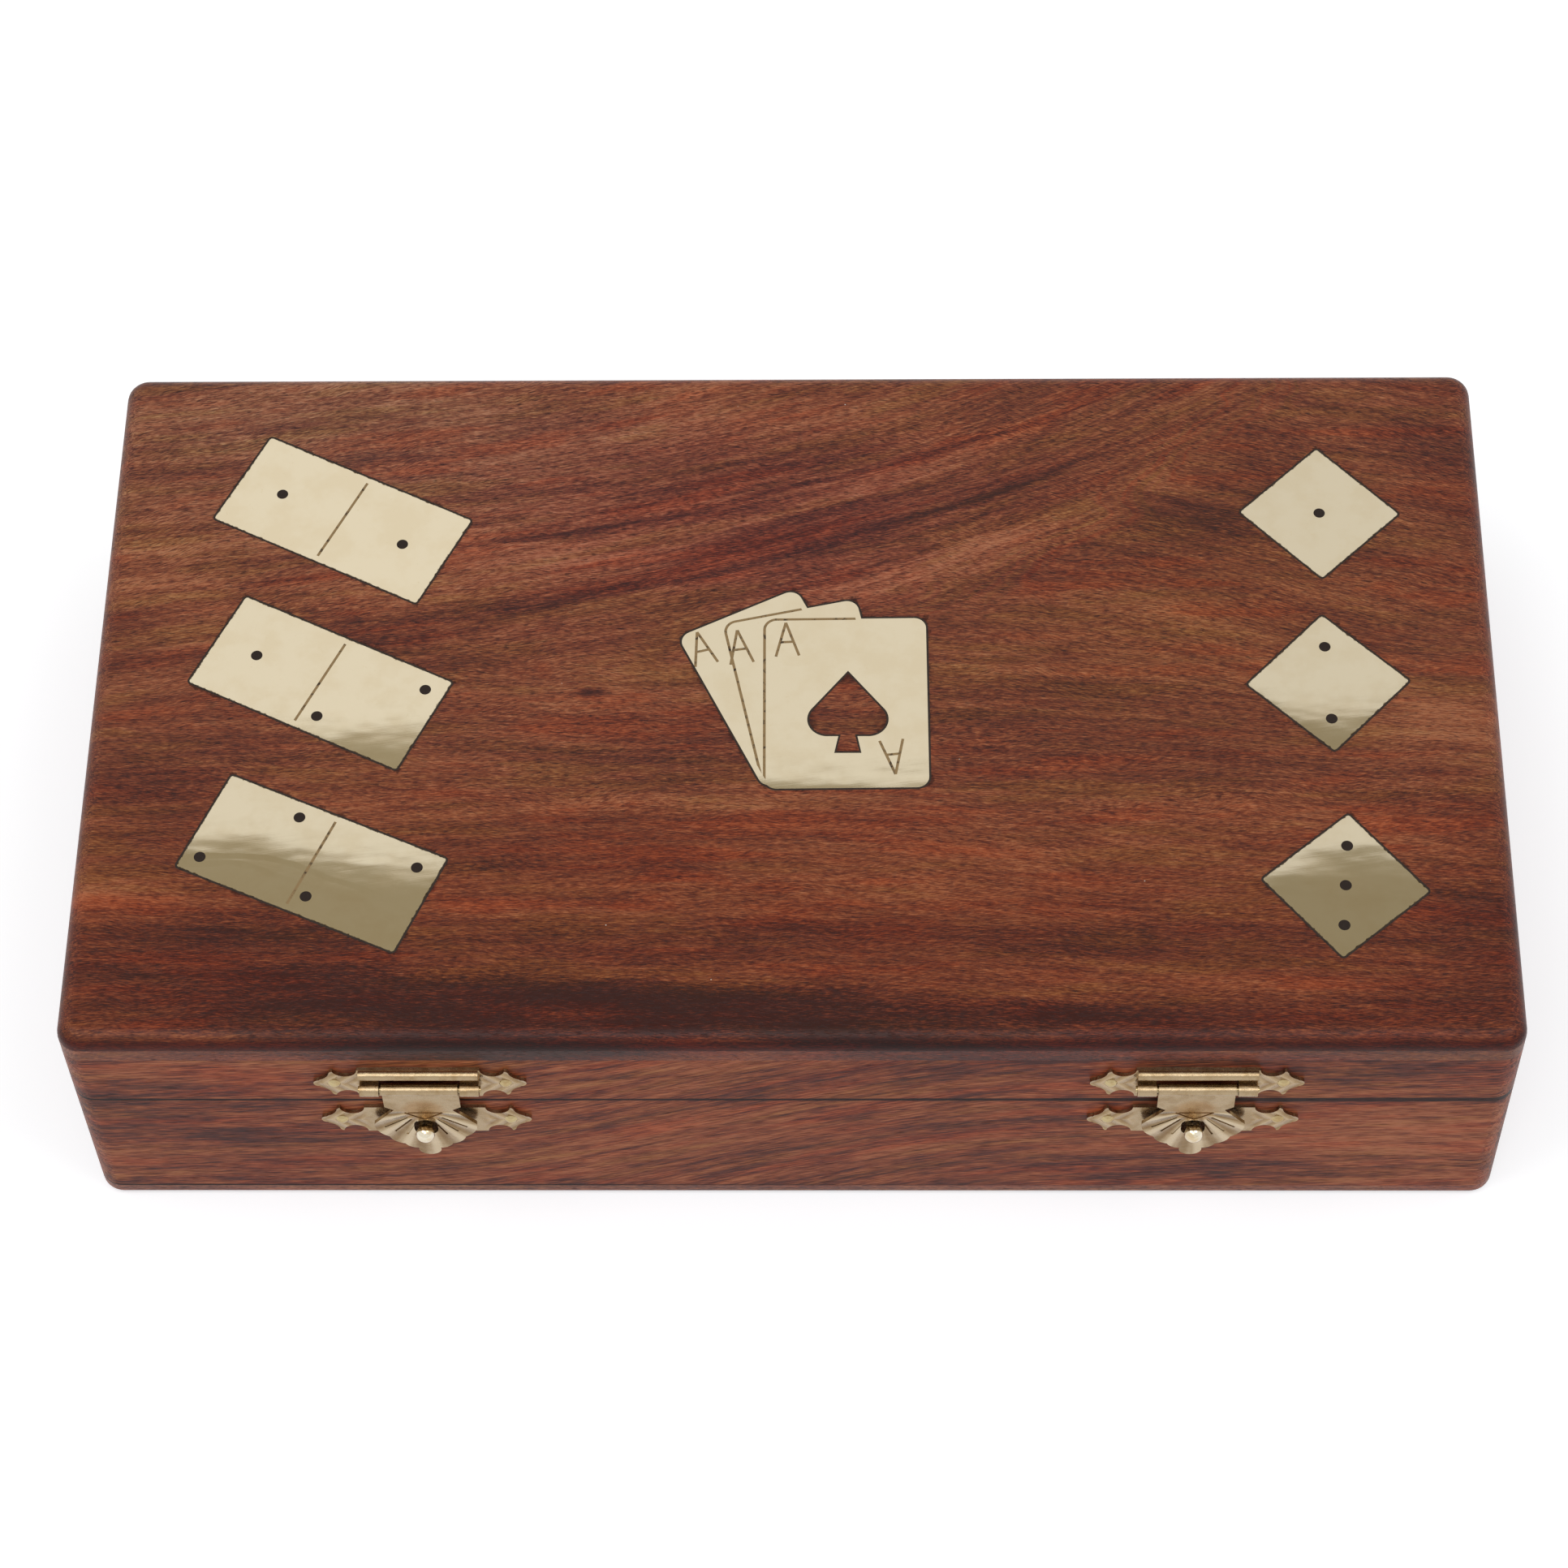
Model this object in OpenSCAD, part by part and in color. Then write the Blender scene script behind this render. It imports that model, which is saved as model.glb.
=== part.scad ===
// Domino storage box: a wooden case with a hinged lid, two brass hasp clasps in front,
// two butt hinges behind, and brass inlays let into the top.
// Origin: centre of the underside. X runs to the right, Y to the back, Z up.

/* [Box] */
// Length of the box, left to right
box_length = 229; // [215:1:260]
// Width of the box, front to back
box_width = 130; // [124:1:160]
// Height of the base, up to the edge where the lid lies on it
base_height = 33; // [30:0.5:40]
// Height of the lid
lid_height = 19; // [18:0.5:26]
// Thickness of the side walls
wall = 8; // [7:0.5:10]
// Thickness of the lid's top panel
top_panel_t = 6; // [5:0.25:6.5]
// Thickness of the base's bottom panel
bottom_panel_t = 3; // [2.5:0.25:5]
// Radius of the two front corners
front_corner_r = 3.75; // [3.75:0.25:7]
// Radius of the two back corners
back_corner_r = 3.75; // [3.75:0.25:7]
// Rounding of the lid's top edge
top_round = 3; // [1:0.25:3.5]
// Rounding of the base's bottom edge
bottom_round = 1.5; // [0.5:0.25:2.25]

/* [Compartments] */
// Thickness of the dividers
divider_t = 5; // [3:0.5:6]
// How far the dividers stay below the base's edge
divider_drop = 6; // [2:0.5:12]
// Depth of the grooves that hold the dividers
dado_depth = 2; // [1:0.25:4]
// Width of the compartment for the domino tiles
domino_bay = 100; // [60:1:110]
// Width of the compartment for the playing cards
card_bay = 67; // [30:1:67]
// Thickness of the felt on the floor
felt_t = 1; // [0.5:0.25:2]
// Gap round each piece of felt
felt_gap = 0.4; // [0.2:0.1:1]

/* [Inlays] */
// Thickness of the inlaid brass
inlay_t = 1.5; // [1:0.25:3]
// Width of the dark filler round each inlay
filler_w = 0.35; // [0.2:0.05:0.6]
// Depth of the filled pips, lines and letters
mark_depth = 0.4; // [0.2:0.05:0.6]
// Width of the engraved lines
line_w = 0.45; // [0.3:0.05:0.6]
// Radius of the pips
pip_r = 0.95; // [0.6:0.05:1.3]
// Length of a domino inlay
domino_length = 38.9; // [34:0.1:42]
// Width of a domino inlay
domino_width = 18.7; // [16:0.1:22]
// Distance of the domino inlays' centres from the left side
domino_inset = 38.1; // [36:0.1:42]
// Distance from one domino inlay to the next
domino_pitch = 33.5; // [31:0.1:35]
// Side of a die inlay
die_side = 18.6; // [15:0.1:21]
// Distance of the die inlays' centres from the right side
die_inset = 27.2; // [20:0.1:34]
// Distance from one die inlay to the next
die_pitch = 36; // [33:0.1:38]
// Height of a card in the inlaid fan
card_height = 32.8; // [28:0.1:36]
// Corner radius of the inlaid cards
card_corner_r = 2; // [1:0.1:3]
// Width of the spade cut out of the front card
spade_width = 13.2; // [10:0.1:15]
// Height of the spade without its stem
spade_height = 12.7; // [11:0.1:14]

/* [Clasps] */
// Distance of the left clasp from the left side
left_clasp_inset = 56.2; // [40:0.1:70]
// Distance of the right clasp from the right side
right_clasp_inset = 50.7; // [40:0.1:70]
// Length of both plates of a clasp
plate_length = 33.6; // [32:0.1:36]
// Height of the plate on the lid
upper_plate_h = 8.4; // [7.5:0.1:9]
// Height of the plate on the base
lower_plate_h = 7.9; // [7.5:0.1:9]
// Thickness of the stamped brass
plate_t = 0.6; // [0.4:0.05:0.8]
// Length of the plates' raised middle
plate_bar = 18.8; // [17:0.1:20]
// Height of the hasp's pivot above the lid's lower edge
pivot_rise = 6.6; // [5.5:0.1:7.5]
// Distance from the front face to the hasp's pivot
pivot_out = 1.7; // [1.6:0.05:2.2]
// Radius of the pivot wire
wire_r = 0.55; // [0.4:0.05:0.6]
// Radius of the hasp's rolled barrel
barrel_r = 1; // [0.9:0.05:1.1]
// Length of the hasp's barrel
barrel_length = 12.1; // [10:0.1:13]
// Width of the hasp's fan
fan_width = 16.3; // [15:0.1:18]
// Length of the hasp below its pivot
hasp_length = 21.4; // [20.8:0.1:23]
// Depth of the knob below the base's edge
knob_drop = 5; // [4.5:0.1:5.5]
// Radius of the knob's head
knob_r = 1.55; // [1.3:0.05:1.6]
// Radius of the nail heads
nail_head_r = 1.05; // [0.9:0.05:1.2]

/* [Hinges] */
// Distance of each hinge from the box's side
hinge_inset = 45; // [30:0.5:70]
// Length of a hinge
hinge_length = 25; // [20:0.5:30]
// Depth of the hinge leaves in the wood
leaf_depth = 6.5; // [6:0.25:6.75]
// Thickness of a hinge leaf
leaf_t = 0.8; // [0.6:0.05:1]
// Outer radius of the knuckles
knuckle_r = 1.6; // [1.4:0.05:1.8]
// Radius of the hinge pin
hinge_pin_r = 0.75; // [0.6:0.05:0.85]
// Gap between the knuckles and the back face
knuckle_gap = 0.4; // [0.35:0.05:0.8]

/* [Hidden] */
$fn = 48;

wood = "#7a3f2b";
dark_wood = "#6a3526";
brass = "#d2bd86";
polished_brass = "#dcc382";
filler = "#3a2b24";
felt = "#7b1f2a";
overlap = 1;

// Box
half_l = box_length / 2;
half_w = box_width / 2;
box_height = base_height + lid_height;
rail_height = lid_height - top_panel_t;
wall_height = base_height - bottom_panel_t;
inner_half_l = half_l - wall;
inner_half_w = half_w - wall;

// Compartments
divider_top = base_height - divider_drop;
left_divider_x = -inner_half_l + domino_bay + divider_t / 2;
right_divider_x = left_divider_x + divider_t + card_bay;

// Running and seating clearances
run_gap = 0.05;
seat_gap = 0.02;
mortise_gap = 0.1;
window_gap = 0.35;
knob_gap = 0.35;

// Inlays: each place is an offset from the even column, and a turn
inlay_floor = box_height - inlay_t;
mark_floor = box_height - mark_depth;
inlay_corner_r = 0.5;
domino_rows = [1, 0, -1];
domino_places = [[0.8, 1, -26.5], [-0.8, 1.9, -26], [0.1, 1, -24]];
domino_pips = [
    [[-11.7, 0], [11.5, 0]],
    [[-12, 0], [2.8, -6], [16.2, 6.2]],
    [[-16.8, -6.3], [-5.7, 6.7], [2.1, -5.9], [15.8, 6]]
];
domino_line_margin = 1.05;
die_places = [[0.1, -0.8, 44], [-0.3, 1.4, 46.4], [0.3, -0.9, 40]];
die_pip_counts = [1, 2, 3];
die_pip_steps = [0, 14, 7.3];
// Cards of the fan, back to front: width and turn
cards = [[21.5, 26.3], [22.3, 12.5], [26.5, 0.6]];
card_pivot = [-4.4, -18.8];
// Letters: middle of the feet, and turn
letters = [[-14.1, 5.2, 15], [-8.3, 5.4, 8], [-0.9, 6.8, 3], [16, -9.5, 186]];
letter_height = 6.6;
letter_half_w = 1.9;
letter_bar_at = 0.42;
spade_tip = [9, 3.9];
spade_lobe_r = spade_width / 4;
spade_neck = 2.7;
spade_neck_run = 1;
spade_stem_w = 4.4;
spade_stem_h = 3.2;
// How far straight edges run into the arcs that they meet
weld = 0.01;

// Clasps
left_clasp_x = -half_l + left_clasp_inset;
right_clasp_x = half_l - right_clasp_inset;
pivot_y = -half_w - pivot_out;
pivot_z = base_height + pivot_rise;
knob_z = base_height - knob_drop;
knob_above_middle = 0.5;
lower_plate_z = knob_z - knob_above_middle;
plate_front = -half_w - plate_t;
tip_r = 0.9;
cusp_in = 3;
cusp_h = 3.7;
cusp_w = 0.5;
nail_in = 3.3;
nail_x = plate_length / 2 - nail_in;
nail_shank_r = 0.5;
nail_length = 6;
nail_head_h = 0.55;
bead_r = 0.9;
tunnel_wall = 0.55;
tunnel_r = wire_r + run_gap + tunnel_wall;
window_half = barrel_length / 2 + window_gap;
wire_end = 0.25;
sheet_t = plate_t;
hasp_lead = 0.05;
hasp_back = pivot_y + sheet_t / 2 - hasp_lead;
groove_depth = 0.15;
groove_w = 0.35;
ray_centre = [0, -6.5];
ray_from = 3.6;
ray_to = 8.6;
ray_turns = [22, 36, 50];
tip_lobe_r = 1.8;
scallop_flatness = 0.8;
// Points of the scalloped edge: parts of the fan's half width, and depths below the pivot
scallop_reach = [1, 0.75, 0.47];
scallop_drop = [11, 15.3, 17.7];
last_scallop_rise = 0.4;
shoulder_drop = 5.3;
neck_drop = 6.3;
neck_in = 1.4;
// Engraved triangle: its upper corner and its point
triangle_corner = [3, -7.2];
triangle_point = [0, -9.4];
knob_stem_r = 1.15;
knob_neck_y = hasp_back - sheet_t - knob_gap;
knob_flare = 1.3;
knob_dome = 1.2;
knob_shank_length = 6;
keyhole_r = knob_r + knob_gap;
keyhole_drop = 1.1;

// Hinges
hinge_y = half_w + knuckle_gap + knuckle_r;
hinge_z = base_height;
hinge_x = half_l - hinge_inset;
knuckles = 5;
knuckle_length = hinge_length / knuckles;
knuckle_side_gap = 0.12;
// Screws stand this part of the hinge's length from its middle
screw_spread = 0.3;
screw_x = hinge_length * screw_spread;
screw_head_r = 1.4;
screw_shank_r = 0.6;
screw_length = 8;
screw_sink = 0.05;
screw_gap = 0.1;

// ---- outlines -------------------------------------------------------------

// The box's outline seen from above, drawn in by an inset, its corners cut straight across
module cut_corners(inset = 0) {
    l = half_l - inset;
    w = half_w - inset;
    rf = front_corner_r - inset;
    rb = back_corner_r - inset;
    polygon([[-l + rf, -w], [l - rf, -w], [l, -w + rf], [l, w - rb],
        [l - rb, w], [-l + rb, w], [-l, w - rb], [-l, -w + rf]]);
}

module box_outline() {
    cut_corners();
    for (side = [-1, 1]) {
        translate([side * (half_l - front_corner_r), -half_w + front_corner_r])
            circle(front_corner_r);
        translate([side * (half_l - back_corner_r), half_w - back_corner_r])
            circle(back_corner_r);
    }
}

module rounded_rect(width, height, r) {
    hw = width / 2;
    hh = height / 2;
    square([width - 2 * r, height], center = true);
    square([width, height - 2 * r], center = true);
    for (x = [-hw + r, hw - r], y = [-hh + r, hh - r]) translate([x, y]) circle(r);
}

module quarter_round(r) {
    intersection() {
        circle(r);
        square(r);
    }
}

// Section through an edge: full height over the run, then rounded off at the top
module edge_section(run, height, edge_r) {
    square([run, height]);
    square([run + edge_r, height - edge_r]);
    translate([run, height - edge_r]) quarter_round(edge_r);
}

// Slab with the box's outline, standing on z = 0, its top edge rounded
module rounded_slab(height, edge_r) {
    l = half_l - edge_r;
    w = half_w - edge_r;
    front_x = half_l - front_corner_r;
    back_x = half_l - back_corner_r;
    front_y = half_w - front_corner_r;
    back_y = half_w - back_corner_r;
    linear_extrude(height) cut_corners(edge_r);
    translate([-front_x, -w + overlap, 0]) rotate([90, 0, 90])
        linear_extrude(2 * front_x) mirror([1, 0]) edge_section(overlap, height, edge_r);
    translate([-back_x, w - overlap, 0]) rotate([90, 0, 90])
        linear_extrude(2 * back_x) edge_section(overlap, height, edge_r);
    for (side = [0, 1]) mirror([side, 0, 0]) {
        translate([l - overlap, back_y, 0]) rotate([90, 0, 0])
            linear_extrude(front_y + back_y) edge_section(overlap, height, edge_r);
        translate([front_x, -front_y, 0]) slab_corner(front_corner_r, height, edge_r);
        translate([back_x, back_y, 0]) slab_corner(back_corner_r, height, edge_r);
    }
}

module slab_corner(corner_r, height, edge_r) {
    rotate_extrude() edge_section(corner_r - edge_r, height, edge_r);
}

// ---- wooden walls ---------------------------------------------------------

// Wall along the front (side -1) or the back (side 1), mitred at both ends
module long_wall(height, side) {
    linear_extrude(height) intersection() {
        box_outline();
        polygon([[-half_l, side * half_w], [half_l, side * half_w],
            [inner_half_l, side * inner_half_w], [-inner_half_l, side * inner_half_w]]);
    }
}

// Wall along the left (side -1) or the right (side 1)
module end_wall(height, side) {
    linear_extrude(height) intersection() {
        box_outline();
        polygon([[side * half_l, -half_w], [side * half_l, half_w],
            [side * inner_half_l, inner_half_w], [side * inner_half_l, -inner_half_w]]);
    }
}

module in_base() {
    translate([0, 0, bottom_panel_t]) children();
}

module in_lid() {
    translate([0, 0, base_height]) children();
}

module base_bottom_panel() {
    color(dark_wood) translate([0, 0, bottom_panel_t]) mirror([0, 0, 1])
        rounded_slab(bottom_panel_t, bottom_round);
}

module base_front_wall() {
    color(wood) difference() {
        in_base() long_wall(wall_height, -1);
        dados();
        clasp_base_holes();
    }
}

module base_back_wall() {
    color(wood) difference() {
        in_base() long_wall(wall_height, 1);
        dados();
        at_hinges() hinge_cut(-1);
    }
}

module base_end_wall(side) {
    color(wood) in_base() end_wall(wall_height, side);
}

module lid_top_panel() {
    color(wood) difference() {
        translate([0, 0, box_height - top_panel_t]) rounded_slab(top_panel_t, top_round);
        inlay_pockets();
    }
}

module lid_front_rail() {
    color(wood) difference() {
        in_lid() long_wall(rail_height, -1);
        clasp_lid_holes();
    }
}

module lid_back_rail() {
    color(wood) difference() {
        in_lid() long_wall(rail_height, 1);
        at_hinges() hinge_cut(1);
    }
}

module lid_end_rail(side) {
    color(wood) in_lid() end_wall(rail_height, side);
}

// ---- compartments ---------------------------------------------------------

// Board from the front groove to the back groove
module divider_board() {
    length = 2 * (inner_half_w + dado_depth);
    translate([-divider_t / 2, -length / 2, bottom_panel_t])
        cube([divider_t, length, divider_top - bottom_panel_t]);
}

module dados() {
    for (x = [left_divider_x, right_divider_x]) translate([x, 0, 0]) divider_board();
}

module divider(x) {
    color(dark_wood) translate([x, 0, 0]) divider_board();
}

module felt_sheet(from_x, to_x) {
    color(felt) translate([from_x + felt_gap, -inner_half_w + felt_gap, bottom_panel_t])
        cube([to_x - from_x - 2 * felt_gap, 2 * (inner_half_w - felt_gap), felt_t]);
}

module felt_domino_bay() {
    felt_sheet(-inner_half_l, left_divider_x - divider_t / 2);
}

module felt_card_bay() {
    felt_sheet(left_divider_x + divider_t / 2, right_divider_x - divider_t / 2);
}

module felt_dice_bay() {
    felt_sheet(right_divider_x + divider_t / 2, inner_half_l);
}

// ---- inlays ---------------------------------------------------------------

module at_domino(i) {
    place = domino_places[i];
    translate([-half_l + domino_inset + place[0], domino_rows[i] * domino_pitch + place[1]])
        rotate(place[2]) children();
}

module at_die(i) {
    place = die_places[i];
    translate([half_l - die_inset + place[0], domino_rows[i] * die_pitch + place[1]])
        rotate(place[2]) children();
}

module domino_outline(grow = 0) {
    rounded_rect(domino_length + 2 * grow, domino_width + 2 * grow, inlay_corner_r + grow);
}

module die_outline(grow = 0) {
    rounded_rect(die_side + 2 * grow, die_side + 2 * grow, inlay_corner_r + grow);
}

module domino_marks(i) {
    for (pip = domino_pips[i]) translate(pip) circle(pip_r);
    square([line_w, domino_width - 2 * domino_line_margin], center = true);
}

// Pips of a die in a row along the diagonal
module die_marks(i) {
    count = die_pip_counts[i];
    step = die_pip_steps[i];
    rotate(45) for (k = [0 : count - 1]) translate([(k - (count - 1) / 2) * step, 0]) circle(pip_r);
}

module card_outline(i, grow = 0) {
    width = cards[i][0];
    translate(card_pivot) rotate(cards[i][1]) translate([width / 2, card_height / 2])
        rounded_rect(width + 2 * grow, card_height + 2 * grow, card_corner_r + grow);
}

module fan_outline(grow = 0) {
    for (i = [0 : len(cards) - 1]) card_outline(i, grow);
}

// Engraved edge of one card, where it lies on the cards behind it
module card_edge_line(i) {
    intersection() {
        difference() {
            card_outline(i, line_w / 2);
            card_outline(i, -line_w / 2);
        }
        for (behind = [0 : i - 1]) card_outline(behind, -line_w * 2);
    }
}

// Straight line of a given width between two points
module stroke(from, to, width) {
    run = to - from;
    translate(from) rotate(atan2(run.y, run.x)) translate([0, -width / 2])
        square([norm(run), width]);
}

module letter_a() {
    foot = letter_half_w;
    apex = [0, letter_height];
    bar_half = foot * (1 - letter_bar_at);
    bar_y = letter_height * letter_bar_at;
    stroke([-foot, 0], apex, line_w);
    stroke([foot, 0], apex, line_w);
    stroke([-bar_half, bar_y], [bar_half, bar_y], line_w);
}

module fan_marks() {
    for (i = [1 : len(cards) - 1]) card_edge_line(i);
    for (place = letters) translate([place[0], place[1]]) rotate(place[2]) letter_a();
}

// Spade with its tip at the origin: two lobes, straight flanks that touch them, and a stem
module spade_outline(grow = 0) {
    lobe_x = spade_width / 2 - spade_lobe_r;
    lobe_y = -spade_height + spade_lobe_r;
    reach = norm([lobe_x, lobe_y]);
    flank = atan2(-lobe_y, -lobe_x) - acos(spade_lobe_r / reach);
    touch = (spade_lobe_r + grow - weld) * [cos(flank), sin(flank)];
    tip = [0, grow / sin(flank)];
    neck = spade_neck / 2 + grow;
    foot = spade_stem_w / 2 + grow;
    foot_y = -spade_height - spade_stem_h - grow;
    sole_y = -spade_height - grow + weld;
    for (side = [-1, 1]) translate([side * lobe_x, lobe_y]) circle(spade_lobe_r + grow);
    polygon([tip, [lobe_x + touch.x, lobe_y + touch.y], [lobe_x, sole_y],
        [-lobe_x, sole_y], [-lobe_x - touch.x, lobe_y + touch.y]]);
    polygon([[-neck, -spade_height + spade_neck_run], [neck, -spade_height + spade_neck_run],
        [foot, foot_y], [-foot, foot_y]]);
}

module at_spade() {
    translate(spade_tip) children();
}

// Room for every inlay and its filler. The wood inside the spade stays as an island.
module inlay_pockets() {
    translate([0, 0, inlay_floor]) linear_extrude(inlay_t + overlap) {
        for (i = [0 : 2]) {
            at_domino(i) domino_outline(filler_w);
            at_die(i) die_outline(filler_w);
        }
        difference() {
            fan_outline(filler_w);
            at_spade() spade_outline(-filler_w);
        }
    }
}

// A brass plate of child 0's outline, with child 1's marks cut into its face
module inlay_plate() {
    color(brass) difference() {
        translate([0, 0, inlay_floor]) linear_extrude(inlay_t) children(0);
        translate([0, 0, mark_floor]) linear_extrude(mark_depth + overlap) children(1);
    }
}

module inlay_domino(i) {
    inlay_plate() {
        at_domino(i) domino_outline();
        at_domino(i) domino_marks(i);
    }
}

module inlay_die(i) {
    inlay_plate() {
        at_die(i) die_outline();
        at_die(i) die_marks(i);
    }
}

module inlay_card_fan() {
    inlay_plate() {
        difference() {
            fan_outline();
            at_spade() spade_outline();
        }
        fan_marks();
    }
}

module inlay_filler_outlines() {
    color(filler) translate([0, 0, inlay_floor]) linear_extrude(inlay_t) {
        for (i = [0 : 2]) {
            at_domino(i) difference() {
                domino_outline(filler_w);
                domino_outline();
            }
            at_die(i) difference() {
                die_outline(filler_w);
                die_outline();
            }
        }
        difference() {
            fan_outline(filler_w);
            fan_outline();
        }
        at_spade() difference() {
            spade_outline();
            spade_outline(-filler_w);
        }
    }
}

module inlay_filler_marks() {
    color(filler) translate([0, 0, mark_floor]) linear_extrude(mark_depth) {
        for (i = [0 : 2]) {
            at_domino(i) domino_marks(i);
            at_die(i) die_marks(i);
        }
        fan_marks();
    }
}

// ---- clasps ---------------------------------------------------------------

// Turns a shape drawn in x and z upright, its thickness running out from the front face
module upright(y, thickness) {
    translate([0, y, 0]) rotate([90, 0, 0]) linear_extrude(thickness) children();
}

module at_both_ends() {
    for (side = [-1, 1]) translate([side * nail_x, 0]) children();
}

// Plate outline round its own centre: a plain middle, and ends cut to cusps and a nose
module plate_outline(height) {
    half = plate_length / 2;
    half_h = height / 2;
    bar_end = plate_bar / 2;
    cusp_x = half - cusp_in;
    bite_r = (cusp_x - bar_end) / 2;
    nose_x = half - tip_r;
    for (side = [0, 1]) mirror([side, 0]) {
        difference() {
            polygon([[0, -half_h], [bar_end, -half_h], [cusp_x, -cusp_h], [nose_x, -tip_r],
                [nose_x, tip_r], [cusp_x, cusp_h], [bar_end, half_h], [0, half_h]]);
            for (up = [-1, 1]) {
                translate([bar_end + bite_r, up * half_h]) circle(bite_r - cusp_w / 2);
                translate([half, up * cusp_h]) circle(cusp_in - cusp_w / 2);
            }
        }
        translate([nose_x, 0]) circle(tip_r);
    }
}

// Plate on the lid: bead along its upper edge, and a tunnel that carries the pivot wire
module upper_plate(x) {
    bead_z = pivot_z + upper_plate_h / 2 - bead_r;
    color(brass) translate([x, 0, 0]) difference() {
        union() {
            upright(-half_w, plate_t) translate([0, pivot_z]) plate_outline(upper_plate_h);
            along_x(plate_bar, -half_w - bead_r, bead_z) cylinder(r = bead_r, h = plate_bar);
            along_x(plate_bar, pivot_y, pivot_z) cylinder(r = tunnel_r, h = plate_bar);
            translate([-plate_bar / 2, pivot_y, pivot_z - tunnel_r])
                cube([plate_bar, pivot_out, 2 * tunnel_r]);
        }
        along_x(plate_bar + overlap, pivot_y, pivot_z)
            cylinder(r = wire_r + run_gap, h = plate_bar + overlap);
        translate([-window_half, pivot_y - tunnel_r - overlap, pivot_z - tunnel_r - window_gap])
            cube([2 * window_half, pivot_out + tunnel_r + 2 * overlap, 2 * (tunnel_r + window_gap)]);
        nail_holes(pivot_z);
    }
}

// Lays an upright shape of the given length along X, centred on x = 0
module along_x(length, y, z) {
    translate([-length / 2, y, z]) rotate([0, 90, 0]) children();
}

module pivot_wire(x) {
    length = plate_bar + 2 * wire_end;
    color(polished_brass) translate([x, 0, 0]) along_x(length, pivot_y, pivot_z)
        cylinder(r = wire_r, h = length);
}

// Bulge of a scalloped edge between two points: a circle through both, cut off above the upper
module scallop(from, to) {
    run = to - from;
    inward = [-run.y, run.x] * scallop_flatness;
    centre = (from + to) / 2 + inward;
    r = norm(to - centre);
    intersection() {
        translate(centre) circle(r);
        translate([centre.x - r, to.y - 2 * r]) square(2 * r);
    }
}

// Hasp outline hanging from its pivot at the origin
module hasp_outline() {
    shoulder = barrel_length / 2;
    neck = shoulder - neck_in;
    lobe_y = -hasp_length + tip_lobe_r;
    half_fan = fan_width / 2;
    steps = [for (k = [0 : 2]) [half_fan * scallop_reach[k], -scallop_drop[k]],
        [tip_lobe_r, lobe_y + last_scallop_rise]];
    translate([0, lobe_y]) circle(tip_lobe_r);
    for (side = [0, 1]) mirror([side, 0]) {
        polygon([[0, 0], [0, lobe_y], steps[3], steps[2], steps[1], steps[0],
            [neck, -neck_drop], [shoulder, -shoulder_drop], [shoulder, 0]]);
        for (k = [0 : 2]) scallop(steps[k + 1], steps[k]);
    }
}

// Slot that passes over the knob, longer downwards so that the hasp can swing out
module keyhole() {
    drop = pivot_z - knob_z;
    for (y = [-drop, -drop - keyhole_drop]) translate([0, y]) circle(keyhole_r);
    translate([-keyhole_r, -drop - keyhole_drop]) square([2 * keyhole_r, keyhole_drop]);
}

// Stamped lines of the fan: a triangle at the neck, and rays towards the scallops
module hasp_grooves() {
    for (side = [0, 1]) mirror([side, 0]) {
        stroke(triangle_point, triangle_corner, groove_w);
        stroke([0, triangle_corner.y], triangle_corner, groove_w);
        for (turn = ray_turns) {
            ray = [sin(turn), -cos(turn)];
            stroke(ray_centre + ray_from * ray, ray_centre + ray_to * ray, groove_w);
        }
    }
}

module hasp(x) {
    color(brass) translate([x, 0, 0]) difference() {
        union() {
            upright(hasp_back, sheet_t) translate([0, pivot_z]) difference() {
                hasp_outline();
                keyhole();
            }
            along_x(barrel_length, pivot_y, pivot_z) cylinder(r = barrel_r, h = barrel_length);
        }
        along_x(barrel_length + overlap, pivot_y, pivot_z)
            cylinder(r = wire_r + run_gap, h = barrel_length + overlap);
        upright(hasp_back - sheet_t + groove_depth, overlap) translate([0, pivot_z]) hasp_grooves();
    }
}

module lower_plate(x) {
    color(brass) translate([x, 0, 0]) difference() {
        upright(-half_w, plate_t) translate([0, lower_plate_z]) plate_outline(lower_plate_h);
        nail_holes(lower_plate_z);
        knob_hole();
    }
}

// Points a shape that rises from z = 0 out of the front face
module outward(y, z) {
    translate([0, y, z]) rotate([90, 0, 0]) children();
}

// Knob: a shank in the wall, a stem, a flared head and a low dome
module knob(x) {
    stem = -half_w - knob_neck_y;
    dome_r = (knob_r * knob_r + knob_dome * knob_dome) / (2 * knob_dome);
    color(polished_brass) translate([x, 0, 0]) outward(-half_w, knob_z) {
        translate([0, 0, -knob_shank_length]) cylinder(r = knob_stem_r, h = knob_shank_length + stem);
        translate([0, 0, stem]) cylinder(r1 = knob_stem_r, r2 = knob_r, h = knob_flare);
        translate([0, 0, stem + knob_flare]) intersection() {
            translate([0, 0, knob_dome - dome_r]) sphere(dome_r);
            cylinder(r = 2 * knob_r, h = knob_dome);
        }
    }
}

module knob_hole() {
    outward(-half_w, knob_z) translate([0, 0, -knob_shank_length - seat_gap])
        cylinder(r = knob_stem_r + seat_gap, h = knob_shank_length + plate_t + overlap);
}

module nail_holes(z) {
    at_both_ends() outward(plate_front, z) translate([0, 0, -nail_length - seat_gap])
        cylinder(r = nail_shank_r + seat_gap, h = nail_length + overlap);
}

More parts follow.
